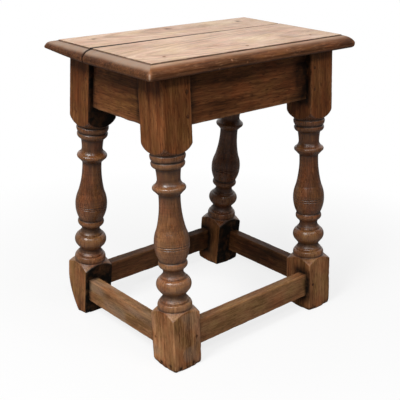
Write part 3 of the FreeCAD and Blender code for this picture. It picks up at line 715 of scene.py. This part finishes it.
class OnTop:
    """Points of a top board as drawn (x, y towards the board's own side, height above
    the underside), and what its surface depends on at each of them."""

    def __init__(self, points, y_side, seam, seed):
        self.x, self.y, self.h = np.moveaxis(points, -1, 0)
        self.side, self.seed = y_side, seed
        self.place = np.stack([self.x, self.y * y_side, self.h], -1)
        self.edge_x, self.edge_y = TOP_LENGTH / 2 - np.abs(self.x), TOP_DEPTH / 2 - self.y
        self.along_edge = self.edge_y < self.edge_x
        self.inset = np.minimum(self.edge_x, self.edge_y)
        self.outer = 1 - step_up(14, 19, self.inset)
        self.field = step_up(18.8, 21, self.inset) * step_up(23, 23.8, self.h)
        self.left_edge = self.outer * (self.x < 0) * (self.edge_x < self.edge_y)
        self.seam_gap = self.y - seam
        self.chip = np.zeros_like(self.x)
        if y_side == FRONT:
            for along, height, size in CHIPS:
                off = np.hypot(self.x - along, self.h - height)
                self.chip = most(self.chip, spot(off, 0, size) * (self.edge_y < 12))

    def noise(self, size, number, stretch=(1, 1, 1)):
        return value_noise(self.place * stretch, size, self.seed + number)

    def seam_opening(self):
        """How far the board stands back from the seam: it gapes towards the left, but
        less through the moulding."""
        place = np.stack([self.x, np.zeros_like(self.x), self.h * 0.5], -1)
        opening = 0.4 + 1.4 * (1 - step_up(-236, 60, self.x)) - 1.1 * (1 - step_up(-238, -222, self.x))
        return opening + 0.15 * value_noise(place, 9, 77) + 0.12 * value_noise(place, 3, 78)

    def shape(self):
        """The worn surface: x, y and height."""
        x, y, h = self.x, self.y, self.h
        # the moulding is slightly wavy, and dented along the nosing
        dent = 0.16 + 0.1 * self.noise(12, 0) + 0.09 * self.noise(4, 1)
        pull = (dent + 0.7 * self.chip) * self.outer * step_up(0.5, 3, h)
        new_x = x - np.sign(x) * pull * (self.edge_x < self.edge_y)
        new_y = y - pull * (self.edge_y <= self.edge_x)
        new_h = h - 0.08 * self.outer * step_up(8, 20, h)
        # the field has shallow dips
        dips = 0.13 + 0.09 * self.noise(40, 2, (0.5, 1, 0)) + 0.04 * self.noise(9, 3, (0.3, 1, 0))
        new_h = new_h - self.field * dips
        # the seam's edges are softened
        new_y = new_y + self.seam_opening() * fade(self.seam_gap, 5.0)
        new_h = new_h - 0.7 * step_up(20, 22, h) * fade(self.seam_gap, 0.9)
        if self.side == REAR:
            new_h = new_h - 0.3 * fade(self.seam_gap, 25.0) * step_up(20, 22, h)
            # this board's left corner has been worn from below
            rise = 8.5 * np.clip((y - 10) / 138, 0, 1) ** 1.6 * fade(self.edge_x, 60.0)
            fuller = 3.0 * fade(self.edge_x + self.edge_y, 45.0)
            raised = rise * np.clip(1 - h / 13.0, 0, 1) ** 1.3
            raised = raised + fuller * np.sin(math.pi * np.clip((h - 9) / 13.0, 0, 1))
            new_h = new_h + raised * (x < 0)
        return new_x, new_y, new_h

    def wear(self):
        """The ovolo's crown and the corners are rubbed, the near corner most; there the paleness is also a
        painted highlight.
        """
        h = self.h
        crown = self.outer * step_up(12, 19, h) * (1 - step_up(21.3, 22.3, h))
        corner = spot(np.maximum(self.edge_x, self.edge_y), 0, 6.5)
        # the front-left corner: rubbing with a painted highlight
        near_corner = corner * (self.x < 0) * (self.side == FRONT)
        torn = spot(self.seam_gap, 3.0, 1.6) * (1 - step_up(9, 13, h)) * step_up(1, 3, h)
        torn = torn * (self.x < -TOP_LENGTH / 2 + 5)
        nosing = 0.4 * self.outer * spot(h, 5.0, 1.4)
        total = most(0.3 * crown, 0.7 * corner + 0.8 * near_corner, nosing, 0.9 * torn, 1.5 * self.chip)
        return np.clip(total, 0, 1.5)

    def stains(self):
        """Dark stains about the pegs and a knot."""
        x, y = self.x, self.y * self.side
        place = np.stack([x, y, np.zeros_like(x)], -1)
        ragged = 1 + 0.35 * value_noise(place, 6, 91)
        total = np.zeros_like(x)
        for y_side, strength in PEG_STAINS.items():
            for peg_x, peg_y in top_peg_places(y_side):
                off = np.hypot(x - peg_x, y - peg_y) * ragged
                total = most(total, strength * spot(off, 0, 7.0))
        knot = np.hypot((x - 77.0) / 30.0, (y - 92.0) / 15.0) * ragged
        return most(total, 0.42 * (0.75 + 0.25 * np.cos(knot * 14.0)) * spot(knot, 0, 1))

    def dirt(self):
        """Dirt in the quirk, underneath, in the stains and in a haze over the field. The seam is darkened by
        soiling together with painted shade in its gap; the moulding low down along the left and by the
        front-left corner gets painted shade; and the field is darker along its rear and right edges."""
        x, h = self.x, self.h
        quirk = step_up(17.0, 17.6, self.inset) * (1 - step_up(19.0, 19.5, self.inset)) * step_up(19, 21.5, h)
        # the seam's gap: soiling with painted shade, wider and darker towards the left
        left_share = 1 - step_up(-200, 200, x)
        spread = 1.6 + 1.8 * left_share * (1 - 0.6 * self.outer)
        crack = (0.8 + 0.8 * left_share * (1 - self.outer)) * spot(self.seam_gap, 0, spread)
        underside = 0.4 * (1 - step_up(0.5, 3.0, h))
        by_corner = fade(x + TOP_LENGTH / 2, 60.0) * (self.side == FRONT) * (self.edge_y <= self.edge_x)
        # painted shade low on the left moulding and on the front moulding by the left corner
        lower = self.outer * (1 - step_up(13, 18, h)) * step_up(1, 4, h)
        lower = lower * (0.42 * self.left_edge + 0.35 * by_corner * self.outer)
        # darker along the field's rear and right edges
        rear_or_right = np.where(self.along_edge, self.side == REAR, x > 0)
        border = 0.35 * rear_or_right * fade(self.inset - 19, 3.0) * step_up(23, 23.8, h)
        dulled = 0.05 if self.side == REAR else 0.12 * (1 - step_up(-210, -60, x))
        total = most(
            most(0.8 * quirk, crack, underside) * (self.chip < 0.3),
            self.stains() * self.field, lower, border, dulled * self.field,
        )
        return np.clip(total, 0, 1.6)

    def patina(self):
        """The moulding is dark and the field fresh. Along the front the crown is lighter, scrubbed wood with
        a painted sheen; along the left it is dusty grey, dust with a painted sheen."""
        h = self.h
        front_or_left = np.where(self.along_edge, self.side == FRONT, self.x < 0)
        total = 1 - step_up(17.6, 19.2, self.inset) * step_up(20, 22, h)
        # a painted sheen: the crown is made lighter along the front
        total = total - 0.5 * front_or_left * self.outer * step_up(17.5, 22, h) * (1 - self.left_edge)
        # dust with a painted sheen: the crown along the left goes past whole, to dusty grey
        return total + 0.48 * self.left_edge * step_up(13, 19.5, h + 0.7 * self.noise(20, 8))


def dress_top(points, y_side, seam, seed):
    """The place, grain and facts of a top board's points."""
    at = OnTop(points, y_side, seam, seed)
    x, y, h = at.shape()
    back, up, along = PITHS[y_side]
    grain = np.stack([y * y_side - back, h - up, x - along], -1)
    facts = {"wear": at.wear(), "dirt": at.dirt(), "patina": at.patina()}
    return np.stack([x, y * y_side, h + FRAME_HEIGHT], -1), grain, facts


def border_grid(border, share_x, share_y):
    """A flat grid of points inside one ring of the moulding."""
    nx, ny = len(share_x), len(share_y)
    left, front, right = border[:ny], border[ny - 1 : ny + nx - 1], border[ny + nx - 2 :][::-1]
    across, rows = share_x[None, :, None], share_y[:, None, None]
    seam_x = left[0, 0] + (right[0, 0] - left[0, 0]) * share_x
    seam_row = np.stack([seam_x, np.full(nx, left[0, 1]), np.full(nx, left[0, 2])], -1)
    grid = seam_row[None] * (1 - rows) + front[None] * rows
    ruled = grid[:, :1] * (1 - across) + grid[:, -1:] * across
    target = left[:, None] * (1 - across) + right[:, None] * across
    return grid + target - ruled


def make_top_board(y_side, seed):
    seam = y_side * SEAM_Y + SEAM_HALF_GAP  # the board's inner edge, towards y_side
    depth = TOP_DEPTH / 2 - seam
    share_x, share_y = with_chips(edge_stations(TOP_LENGTH)) / TOP_LENGTH, edge_stations(depth) / depth
    nx, ny = len(share_x), len(share_y)
    rings = []
    for inset, height in moulding_profile():
        by_edge = (1 - min(1, inset / 18.0)) ** 1.2
        rounds = [0.15 + full * by_edge for full in (LEFT_ROUNDS[y_side], RIGHT_ROUND)]
        plan = moulding_ring(seam, inset, *rounds, share_x, share_y)
        rings.append(np.concatenate([plan, np.full((len(plan), 1), height)], 1))
    rings = np.array(rings)
    count, columns = rings.shape[:2]
    skin = Skin()
    world, grain, facts = dress_top(rings, y_side, seam, seed)
    skin.add(world, grain, **facts)
    skin.faces += grid_faces(count, columns, False)

    def add_grid(ring, upward):
        """Faces over or under, joined to the ring that borders them."""
        world, grain, facts = dress_top(border_grid(rings[ring], share_x, share_y), y_side, seam, seed)
        inner = np.ones((ny, nx), bool)
        inner[-1, :] = inner[:, 0] = inner[:, -1] = False
        start = ring * columns
        index = np.zeros((ny, nx), int)
        index[:, 0] = start + np.arange(ny)
        index[-1, :] = start + ny - 1 + np.arange(nx)
        index[:, -1] = start + columns - 1 - np.arange(ny)
        inner_facts = {label: fact[inner] for label, fact in facts.items()}
        index[inner] = skin.add(world[inner], grain[inner], **inner_facts) + np.arange(inner.sum())
        quads = np.stack([index[:-1, :-1], index[:-1, 1:], index[1:, 1:], index[1:, :-1]], -1).reshape(-1, 4)
        skin.faces += (quads[:, ::-1] if upward else quads).tolist()
        return index[0].tolist()

    low_edge, high_edge = add_grid(0, False), add_grid(count - 1, True)
    left_end, right_end = ([row * columns + end for row in range(count)] for end in (0, columns - 1))
    wall = low_edge + right_end[1:-1] + high_edge[::-1] + left_end[-2:0:-1]
    skin.faces.append(wall[::-1])
    skin.make(f"top_board_{Y_NAMES[y_side]}", "top_oak", mirrored=y_side == REAR)


# The pegs.

PEG_LINE = HALF_LEG - 10.5
PEG_RADIUS = 3.4
TOP_PEG_RADIUS = 4.2
PEG_PROUD = 0.1
PEG_LENGTH = 36.0
TOP_PEG_LENGTH = 40.0
PEG_POINTS = 24
# the rings of a peg's head: the share of its radius, and how deep
DOME = [(0.35, 0.0), (0.7, 0.05), (0.88, 0.12), (0.97, 0.4), (1.0, 1.2)]
# heights along the leg of the pegs in its front or rear face and in its side faces
RAIL_FOOT = LEG_LENGTH - RAIL_WIDTH
LONG_PEGS = (RAIL_FOOT + 18.0, LEG_LENGTH - 32.5)
SIDE_PEGS = (RAIL_FOOT + 12.0, LEG_LENGTH - 38.5)
STRETCHER_PEG = (sum(STRETCHER[0]) / 2,)
LONG_SEED, SIDE_SEED, TOP_SEED = 500, 700, 900


def make_pegs(name, heads, radius, length, seed, rim=0.7, patina=0.0):
    """Riven pegs: each starts at a head point and runs along its own way. The heads are uneven polygons,
    slightly domed, with soiling round their rims."""
    random = np.random.default_rng(seed)
    skin = Skin()
    angles = np.arange(PEG_POINTS) * 2 * math.pi / PEG_POINTS
    rings = np.array(DOME + [(1.0, length * 0.6), (0.9, length)])
    share, deep = np.broadcast_to(rings.T[..., None], (2, len(rings), PEG_POINTS))
    for head, way in heads:
        head, way = np.array(head, float), np.array(way, float)
        side = np.cross(way, [0.3, 0.2, 1.0] if abs(way[2]) < 0.9 else [1.0, 0.2, 0])
        side /= np.linalg.norm(side)
        facets = 1 - 0.05 * np.abs(np.sin(angles * random.choice([3, 3.5, 4]) + random.uniform(0, 3)))
        facets = facets * (1 - 0.03 * random.random(PEG_POINTS))
        offset = grain_place(random)
        reach = radius * share * facets
        places = np.stack([reach * np.cos(angles), reach * np.sin(angles), deep], -1)
        points = head + places @ np.array([side, np.cross(way, side), way])
        ends = [(head, offset, {"wear": 0.2, "patina": patina}), (head + way * length, offset, {"dirt": 1.0})]
        skin.tube(points, places + offset, ends, dirt=rim * (share > 0.9), patina=patina)
    skin.make(name, "peg_oak")


def long_pegs(name, y_side, heights):
    """Pegs driven into the front or rear faces of the legs."""
    way = (0, -y_side * math.cos(TILT), -math.sin(TILT))
    heads = []
    for x_side in (LEFT, RIGHT):
        for along in heights:
            heads.append((leg_place(x_side, y_side, -x_side * PEG_LINE, HALF_LEG + PEG_PROUD, along), way))
    make_pegs(name, heads, PEG_RADIUS, PEG_LENGTH, LONG_SEED + len(name) + y_side)


def side_pegs(name, x_side, heights, patina):
    """Pegs driven into the left or right faces of the legs."""
    heads = []
    for y_side in (FRONT, REAR):
        for along in heights:
            point = leg_place(x_side, y_side, x_side * (HALF_LEG + PEG_PROUD), -PEG_LINE, along)
            heads.append((point, (-x_side, 0, 0)))
    make_pegs(name, heads, PEG_RADIUS, PEG_LENGTH, SIDE_SEED + len(name) + x_side, 0.25, patina)


# Materials.


class Nodes:
    """A short way to write the nodes of a material or world."""

    def __init__(self, owner):
        owner.use_nodes = True
        self.tree = owner.node_tree
        self.tree.nodes.clear()

    def add(self, kind, settings=None, **inputs):
        """A node. Its inputs go by name, or by number as i0, i1 and so on."""
        node = self.tree.nodes.new("ShaderNode" + kind)
        for key, value in (settings or {}).items():
            setattr(node, key, value)
        for key, value in inputs.items():
            by_number = key[0] == "i" and key[1:].isdigit()
            socket = node.inputs[int(key[1:]) if by_number else key.replace("_", " ")]
            if isinstance(value, bpy.types.NodeSocket):
                self.tree.links.new(value, socket)
            else:
                socket.default_value = value
        return node

    def math(self, operation, first, second=0.0, clamp=False):
        settings = {"operation": operation, "use_clamp": clamp}
        return self.add("Math", settings, i0=first, i1=second).outputs[0]

    def times(self, first, second, clamp=False):
        return self.math("MULTIPLY", first, second, clamp)

    def scaled(self, vector, scale):
        return self.add("VectorMath", {"operation": "MULTIPLY"}, i0=vector, i1=scale).outputs[0]

    def length(self, vector):
        return self.add("VectorMath", {"operation": "LENGTH"}, i0=vector).outputs["Value"]

    def dot(self, first, second):
        return self.add("VectorMath", {"operation": "DOT_PRODUCT"}, i0=first, i1=second).outputs["Value"]

    def noise(self, vector, scale, detail=2.0, roughness=0.5, along=None):
        """Noise, drawn out along the grain where along is given."""
        if along is not None:
            vector = self.scaled(vector, (1.0, 1.0, along))
        node = self.add("TexNoise", Vector=vector, Scale=scale, Detail=detail, Roughness=roughness)
        return node.outputs["Fac"]

    def remap(self, value, low, high, to_low=0.0, to_high=1.0):
        node = self.add("MapRange", {"clamp": True}, Value=value)
        for key, number in (("From Min", low), ("From Max", high), ("To Min", to_low), ("To Max", to_high)):
            node.inputs[key].default_value = number
        return node.outputs[0]

    def blend(self, share, first, second, mode="MIX"):
        node = self.add("Mix", {"data_type": "RGBA", "blend_type": mode})
        for index, value in ((0, share), (6, first), (7, second)):
            if isinstance(value, bpy.types.NodeSocket):
                self.tree.links.new(value, node.inputs[index])
            else:
                node.inputs[index].default_value = value if index == 0 else (*value, 1.0)
        return node.outputs[2]

    def ramp(self, value, colours):
        node = self.add("ValToRGB", Fac=value)
        elements = node.color_ramp.elements
        while len(elements) > 1:
            elements.remove(elements[-1])
        for number, shade in enumerate(colours):
            place = number / (len(colours) - 1)
            element = elements[0] if number == 0 else elements.new(place)
            element.position = place
            element.color = (*shade, 1.0)
        return node.outputs["Color"]

    def fact(self, name, output="Fac"):
        return self.add("Attribute", {"attribute_name": name}).outputs[output]

    def total(self, *layers):
        """The sum of layers, each times its own weight."""
        result = 0.0
        for layer, weight in layers:
            result = self.math("ADD", result, self.times(layer, weight))
        return result


def colour(red, green, blue):
    """A colour as it looks on screen, 0 to 255, turned into the light that it sends."""

    def linear(value):
        value /= 255
        return value / 12.92 if value <= 0.04045 else ((value + 0.055) / 1.055) ** 2.4

    return tuple(linear(value) for value in (red, green, blue))


def tones(*shades):
    return [colour(*shade) for shade in shades]


DUST_AND_SHEEN = colour(160, 143, 127)
BARE_WOOD_AND_HIGHLIGHT = colour(228, 196, 170)

LOOK = {
    "streak": 0.8, "bands": 0.34, "tone": 0.7, "spread": 0.27, "taper": 0.03,
    "ring_scale": 210.0, "ring_warp": 5.0, "hues": [(1.11, 0.95, 0.91), (1.0, 1.0, 1.0), (0.92, 1.0, 0.88)],
    "pores": 0.85, "old_pores": 0.6, "flecks": 0.45, "blots": 0.3,
    "roughness": (0.3, 0.46), "dull": 0.2, "bump": 0.35, "specular": (0.13, 0.14, 0.45),
}


def ring_bands(nodes, grain, look):
    """Growth rings round a pith off to one side, cut through by the faces."""
    warp = nodes.noise(grain, 22.0, 3.0, along=0.15)
    from_pith = nodes.length(nodes.scaled(grain, (1.0, 1.0, 0.0)))
    rings = nodes.math("ADD", from_pith, nodes.dot(grain, (0.0, 0.0, look["taper"])))
    rings = nodes.total((rings, look["ring_scale"]), (warp, look["ring_warp"]))
    settings = {"noise_dimensions": "1D"}
    bands = nodes.add("TexNoise", settings, W=rings, Scale=1.0, Detail=2.0, Roughness=0.6)
    return bands.outputs["Fac"]


def oak(name, fresh, weathered, worn, grime_and_shade, **own_look):
    """Old oak: fresh and weathered are ramps from dark to light, and the weathering fact goes from the first
    to the second. Its own look is how it differs from LOOK."""
    look = {**LOOK, **own_look}
    material = WOODS[name] = bpy.data.materials.new(name)
    nodes = Nodes(material)
    grain = nodes.fact("grain", "Vector")
    wear, dirt, patina, turned = [nodes.fact(label) for label in FACTS]
    # streaks and fibres over the rings
    bands = ring_bands(nodes, grain, look)
    tone = nodes.noise(grain, 24.0, 3.0, 0.55, along=0.35)
    streaks = nodes.noise(grain, 150.0, along=0.06)
    fibres = nodes.noise(grain, 420.0, 3.0, 0.6, along=0.05)
    fine = nodes.noise(grain, 1300.0, 2.0, 0.6, along=0.035)
    streak = look["streak"]
    weights = [look["bands"] * streak, look["tone"], 0.45 * streak, 0.7 * streak, 0.3 * streak]
    mixed = nodes.total(*zip((bands, tone, streaks, fibres, fine), weights))
    centre, spread = sum(weights) / 2, look["spread"]
    shade = nodes.remap(mixed, centre - spread, centre + spread)
    calm = nodes.remap(nodes.total((tone, 0.5), (streaks, 0.25), (fibres, 0.6)), 0.5, 0.85)
    base = nodes.blend(patina, nodes.ramp(shade, fresh), nodes.ramp(calm, weathered))
    # broad drifts of colour, redder and greener
    drift = nodes.noise(grain, 34.0, 3.0, 0.6, along=0.5)
    base = nodes.blend(1.0, base, nodes.ramp(nodes.remap(drift, 0.36, 0.64), look["hues"]), "MULTIPLY")
    # dust where the weathering runs past whole; on the top's left crown it also stands for a painted sheen
    base = nodes.blend(nodes.remap(patina, 1.0, 1.5, 0.0, 0.85), base, DUST_AND_SHEEN)
    # the fine rings that a turner's gouge leaves
    lathe = nodes.noise(nodes.scaled(grain, (0.05, 0.05, 1.0)), 520.0, 2.0, 0.6)
    lathe = nodes.times(nodes.remap(lathe, 0.45, 0.62), turned)
    base = nodes.blend(nodes.times(lathe, 0.33), base, fresh[0])
    # open pores: short dark dashes
    pores = nodes.remap(nodes.noise(grain, 480.0, 2.0, 0.6, along=0.16), 0.52, 0.64)
    pores = nodes.times(pores, nodes.remap(bands, 0.4, 0.6, 0.35, 1.0))
    pores = nodes.times(pores, nodes.remap(patina, 0.0, 1.0, 1.0, look["old_pores"]))
    base = nodes.blend(nodes.times(pores, look["pores"]), base, fresh[0])
    # pale flecks where dry wood has been scuffed
    flecks = nodes.remap(nodes.noise(grain, 330.0, 2.0, 0.6, along=0.3), 0.56, 0.68)
    flecks = nodes.times(flecks, nodes.remap(patina, 0.3, 1.0, 0.0, look["flecks"]))
    base = nodes.blend(flecks, base, weathered[2])
    # worn edges are brightened and soiled places darkened, both broken up; the brightening also carries
    # painted highlights and the darkening painted shade
    patch = nodes.noise(grain, 90.0, 4.0, 0.6)
    worn_share = nodes.times(wear, nodes.remap(patch, 0.3, 0.6, 0.3, 1.0), clamp=True)
    base = nodes.blend(nodes.times(worn_share, 0.8), base, worn)
    # the palest places go to bare wood; on the top's near corner this is also a painted highlight
    base = nodes.blend(nodes.remap(wear, 1.05, 1.45, 0.0, 0.9), base, BARE_WOOD_AND_HIGHLIGHT)
    smudge = nodes.noise(grain, 60.0, 3.0, 0.6)
    blot = nodes.remap(nodes.noise(grain, 32.0, 4.0, 0.65), 0.56, 0.75, 0.0, look["blots"])
    dirty = nodes.times(dirt, nodes.remap(smudge, 0.25, 0.55, 0.6, 1.0))
    dirty = nodes.math("MAXIMUM", dirty, blot, clamp=True)
    # the dark colour here is soiling and painted shade alike
    base = nodes.blend(dirty, base, grime_and_shade)
    # gloss and relief
    uneven = nodes.total((fibres, 0.5), (nodes.noise(grain, 45.0, 3.0, 0.6), 0.5))
    rough = nodes.remap(uneven, 0.35, 0.65, *look["roughness"])
    rough = nodes.total((rough, 1.0), (dirty, 0.3), (patina, look["dull"]), (turned, -0.1))
    height = nodes.total((fibres, 0.5), (pores, -0.6), (lathe, -0.5))
    bump = nodes.add("Bump", Strength=look["bump"], Distance=0.0004, Height=height).outputs[0]
    sheen, old_sheen, turned_sheen = look["specular"]
    level = nodes.total((nodes.remap(patina, 0.0, 1.0, sheen, old_sheen), 1.0), (turned, turned_sheen))
    shader = nodes.add(
        "BsdfPrincipled", Base_Color=base, Roughness=rough, Normal=bump, Specular_IOR_Level=level,
    )
    nodes.add("OutputMaterial", Surface=shader.outputs[0])


oak(
    "top_oak", tones((162, 116, 82), (220, 178, 144), (246, 214, 184)),
    tones((48, 25, 12), (93, 54, 28), (130, 81, 46)), colour(168, 112, 74), colour(26, 15, 10),
    streak=1.0, bands=0.75, tone=1.1, spread=0.38, taper=-0.13, ring_scale=190.0, ring_warp=2.2,
    hues=[(1.03, 0.94, 0.96), (1.0, 1.0, 1.0), (0.99, 1.0, 0.88)],
    pores=0.45, old_pores=1.0, flecks=0.0, blots=0.1,
    roughness=(0.28, 0.48), dull=0.05, specular=(0.5, 0.22, 0.0),
)
oak(
    "leg_oak", tones((70, 35, 15), (118, 71, 38), (158, 106, 64)),
    tones((100, 62, 34), (166, 115, 73), (206, 153, 106)), colour(206, 158, 114), colour(20, 15, 10),
    blots=0.15,
)
oak(
    "rail_oak", tones((60, 32, 15), (112, 67, 37), (150, 98, 59)),
    tones((100, 66, 40), (150, 106, 69), (182, 138, 96)), colour(180, 128, 84), colour(15, 9, 6),
    streak=0.9, pores=0.8,
)
oak(
    "peg_oak", tones((56, 32, 17), (92, 56, 33), (120, 80, 50)),
    tones((96, 58, 32), (150, 102, 64), (186, 136, 92)), colour(120, 82, 52), colour(20, 12, 7),
    roughness=(0.4, 0.55),
)


# The pieces, each with a seed of its own.

seeds = itertools.count(10, 20)
BAR_SEED = 10

for x_side, y_side in itertools.product((LEFT, RIGHT), (FRONT, REAR)):
    make_leg(x_side, y_side, next(seeds))

# how the rail darkens along its length, then the stretcher's weathering and how it darkens
for y_side, rail_darkening, patina, bar_darkening in (
    (FRONT, ((0.0, 0.95), (0.6, 0.98)), 0.8, CLEAN),
    (REAR, CLEAN, 0.1, ((0.1, 0.75), (-0.3, 0.5))),
):
    label, lie, seed = Y_NAMES[y_side], long_lie(y_side), next(seeds)
    make_board(f"rail_{label}", lie, LONG_RAIL, seed, darkening=rail_darkening)
    make_board(f"stretcher_{label}", lie, STRETCHER, seed + BAR_SEED, patina, bar_darkening)

# the rail's curl, then the stretcher's weathering and how it darkens
for x_side, curl, patina, bar_darkening in (
    (LEFT, 4.0, 1.0, CLEAN),
    (RIGHT, 0.0, 0.0, ((0.55, 0.55), (-1.0, 1.0))),
):
    label, lie, seed = X_NAMES[x_side], side_lie(x_side), next(seeds)
    make_board(f"rail_{label}", lie, SIDE_RAIL, seed, curl=curl)
    make_board(f"stretcher_{label}", lie, STRETCHER, seed + BAR_SEED, patina, bar_darkening)

for y_side in (FRONT, REAR):
    make_top_board(y_side, next(seeds))

for y_side, top_patina in ((FRONT, 0.9), (REAR, 0.0)):
    label = Y_NAMES[y_side]
    long_pegs(f"rail_pegs_{label}", y_side, LONG_PEGS)
    long_pegs(f"stretcher_pegs_{label}", y_side, STRETCHER_PEG)
    heads = [((x, y, HEIGHT - PEG_PROUD), (0, 0, -1)) for x, y in top_peg_places(y_side)]
    make_pegs(f"top_pegs_{label}", heads, TOP_PEG_RADIUS, TOP_PEG_LENGTH, TOP_SEED + y_side, 0.5, top_patina)

for x_side, low_patina in ((LEFT, 0.9), (RIGHT, 0.2)):
    label = X_NAMES[x_side]
    side_pegs(f"rail_pegs_{label}", x_side, SIDE_PEGS, 0.2)
    side_pegs(f"stretcher_pegs_{label}", x_side, STRETCHER_PEG, low_patina)


# The floor, the light and the camera. The floor and the lamps are laid out in metres.

FLOOR_HALF = 6.0
LAMP_AIM = (0, 0, 0.3)
# place, side of its square and power
LAMPS = {
    "key": ((-1.9, -0.3, 2.3), 0.9, 58),
    "front_top": ((0.25, -1.6, 2.35), 0.9, 11),
    "near_top": ((-1.05, -1.5, 2.1), 0.35, 11),
}
WORLD_LIGHT = 0.13
CAMERA_PLACE = Vector((-985.469, -1082.700, 790.304)) * MM
CAMERA_AIM = Vector((-12.408, -8.689, 230.163)) * MM
CAMERA_ROLL = math.radians(1.142)
LENS, SENSOR = 72.746, 36.0


def make_floor():
    """A pale floor. The camera sees it as white, less the stool's soft shadow."""
    mesh = bpy.data.meshes.new("floor")
    corners = np.array([(-1, -1, 0), (1, -1, 0), (1, 1, 0), (-1, 1, 0)]) * FLOOR_HALF
    mesh.from_pydata(corners.tolist(), [], [(0, 1, 2, 3)])
    material = bpy.data.materials.new("floor")
    nodes = Nodes(material)
    seen = nodes.add("LightPath").outputs["Is Camera Ray"]
    away = nodes.length(nodes.add("TexCoord").outputs["Object"])
    shade = nodes.blend(seen, (0.32, 0.32, 0.32), (0.97, 0.97, 0.97))
    diffuse = nodes.add("BsdfDiffuse", Color=shade)
    glow = nodes.add("Emission", Color=(1, 1, 1, 1), Strength=1.0)
    share = nodes.times(seen, nodes.remap(away, 0.3, 0.85, 0.8, 1.0))
    mix = nodes.add("MixShader", i0=share, i1=diffuse.outputs[0], i2=glow.outputs[0])
    nodes.add("OutputMaterial", Surface=mix.outputs[0])
    mesh.materials.append(material)
    floor = new_object("floor", mesh)


def make_world():
    """A backdrop white to the eye, a bright wall behind the stool for reflections,
    and a weaker soft light all round."""
    world = bpy.data.worlds.new("studio")
    bpy.context.scene.world = world
    nodes = Nodes(world)
    path = nodes.add("LightPath")
    way = nodes.add("TexCoord").outputs["Generated"]
    wall = nodes.remap(nodes.dot(way, (0.67, 0.74, 0.0)), 0.1, 0.8)
    mirrored = nodes.times(path.outputs["Is Glossy Ray"], wall)
    seen = nodes.math("MAXIMUM", path.outputs["Is Camera Ray"], mirrored)
    seen = nodes.math("MAXIMUM", seen, path.outputs["Is Transmission Ray"])
    strength = nodes.remap(seen, 0.0, 1.0, WORLD_LIGHT, 1.0)
    light = nodes.add("Background", Color=(1, 1, 1, 1), Strength=strength)
    nodes.add("OutputWorld", Surface=light.outputs[0])


def make_lamp(name, place, size, power):
    light = bpy.data.lights.new(name, "AREA")
    light.size = size
    light.energy = power
    lamp = new_object(name, light)
    lamp.location = place
    way = Vector(LAMP_AIM) - Vector(place)
    lamp.rotation_euler = way.to_track_quat("-Z", "Y").to_euler()


def make_camera():
    camera = bpy.data.cameras.new("camera")
    camera.sensor_width = SENSOR
    camera.lens = LENS
    camera.clip_end = 50.0
    eye = new_object("camera", camera)
    forward = (CAMERA_AIM - CAMERA_PLACE).normalized()
    level = forward.cross(Vector((0, 0, 1))).normalized()
    upright = level.cross(forward)
    right = level * math.cos(CAMERA_ROLL) + upright * math.sin(CAMERA_ROLL)
    turn = Matrix((right, right.cross(forward), -forward)).transposed().to_4x4()
    eye.matrix_world = Matrix.Translation(CAMERA_PLACE) @ turn
    bpy.context.scene.camera = eye


make_floor()
make_world()
for name, (place, size, power) in LAMPS.items():
    make_lamp(name, place, size, power)
make_camera()
bpy.context.scene.view_settings.view_transform = "Standard"
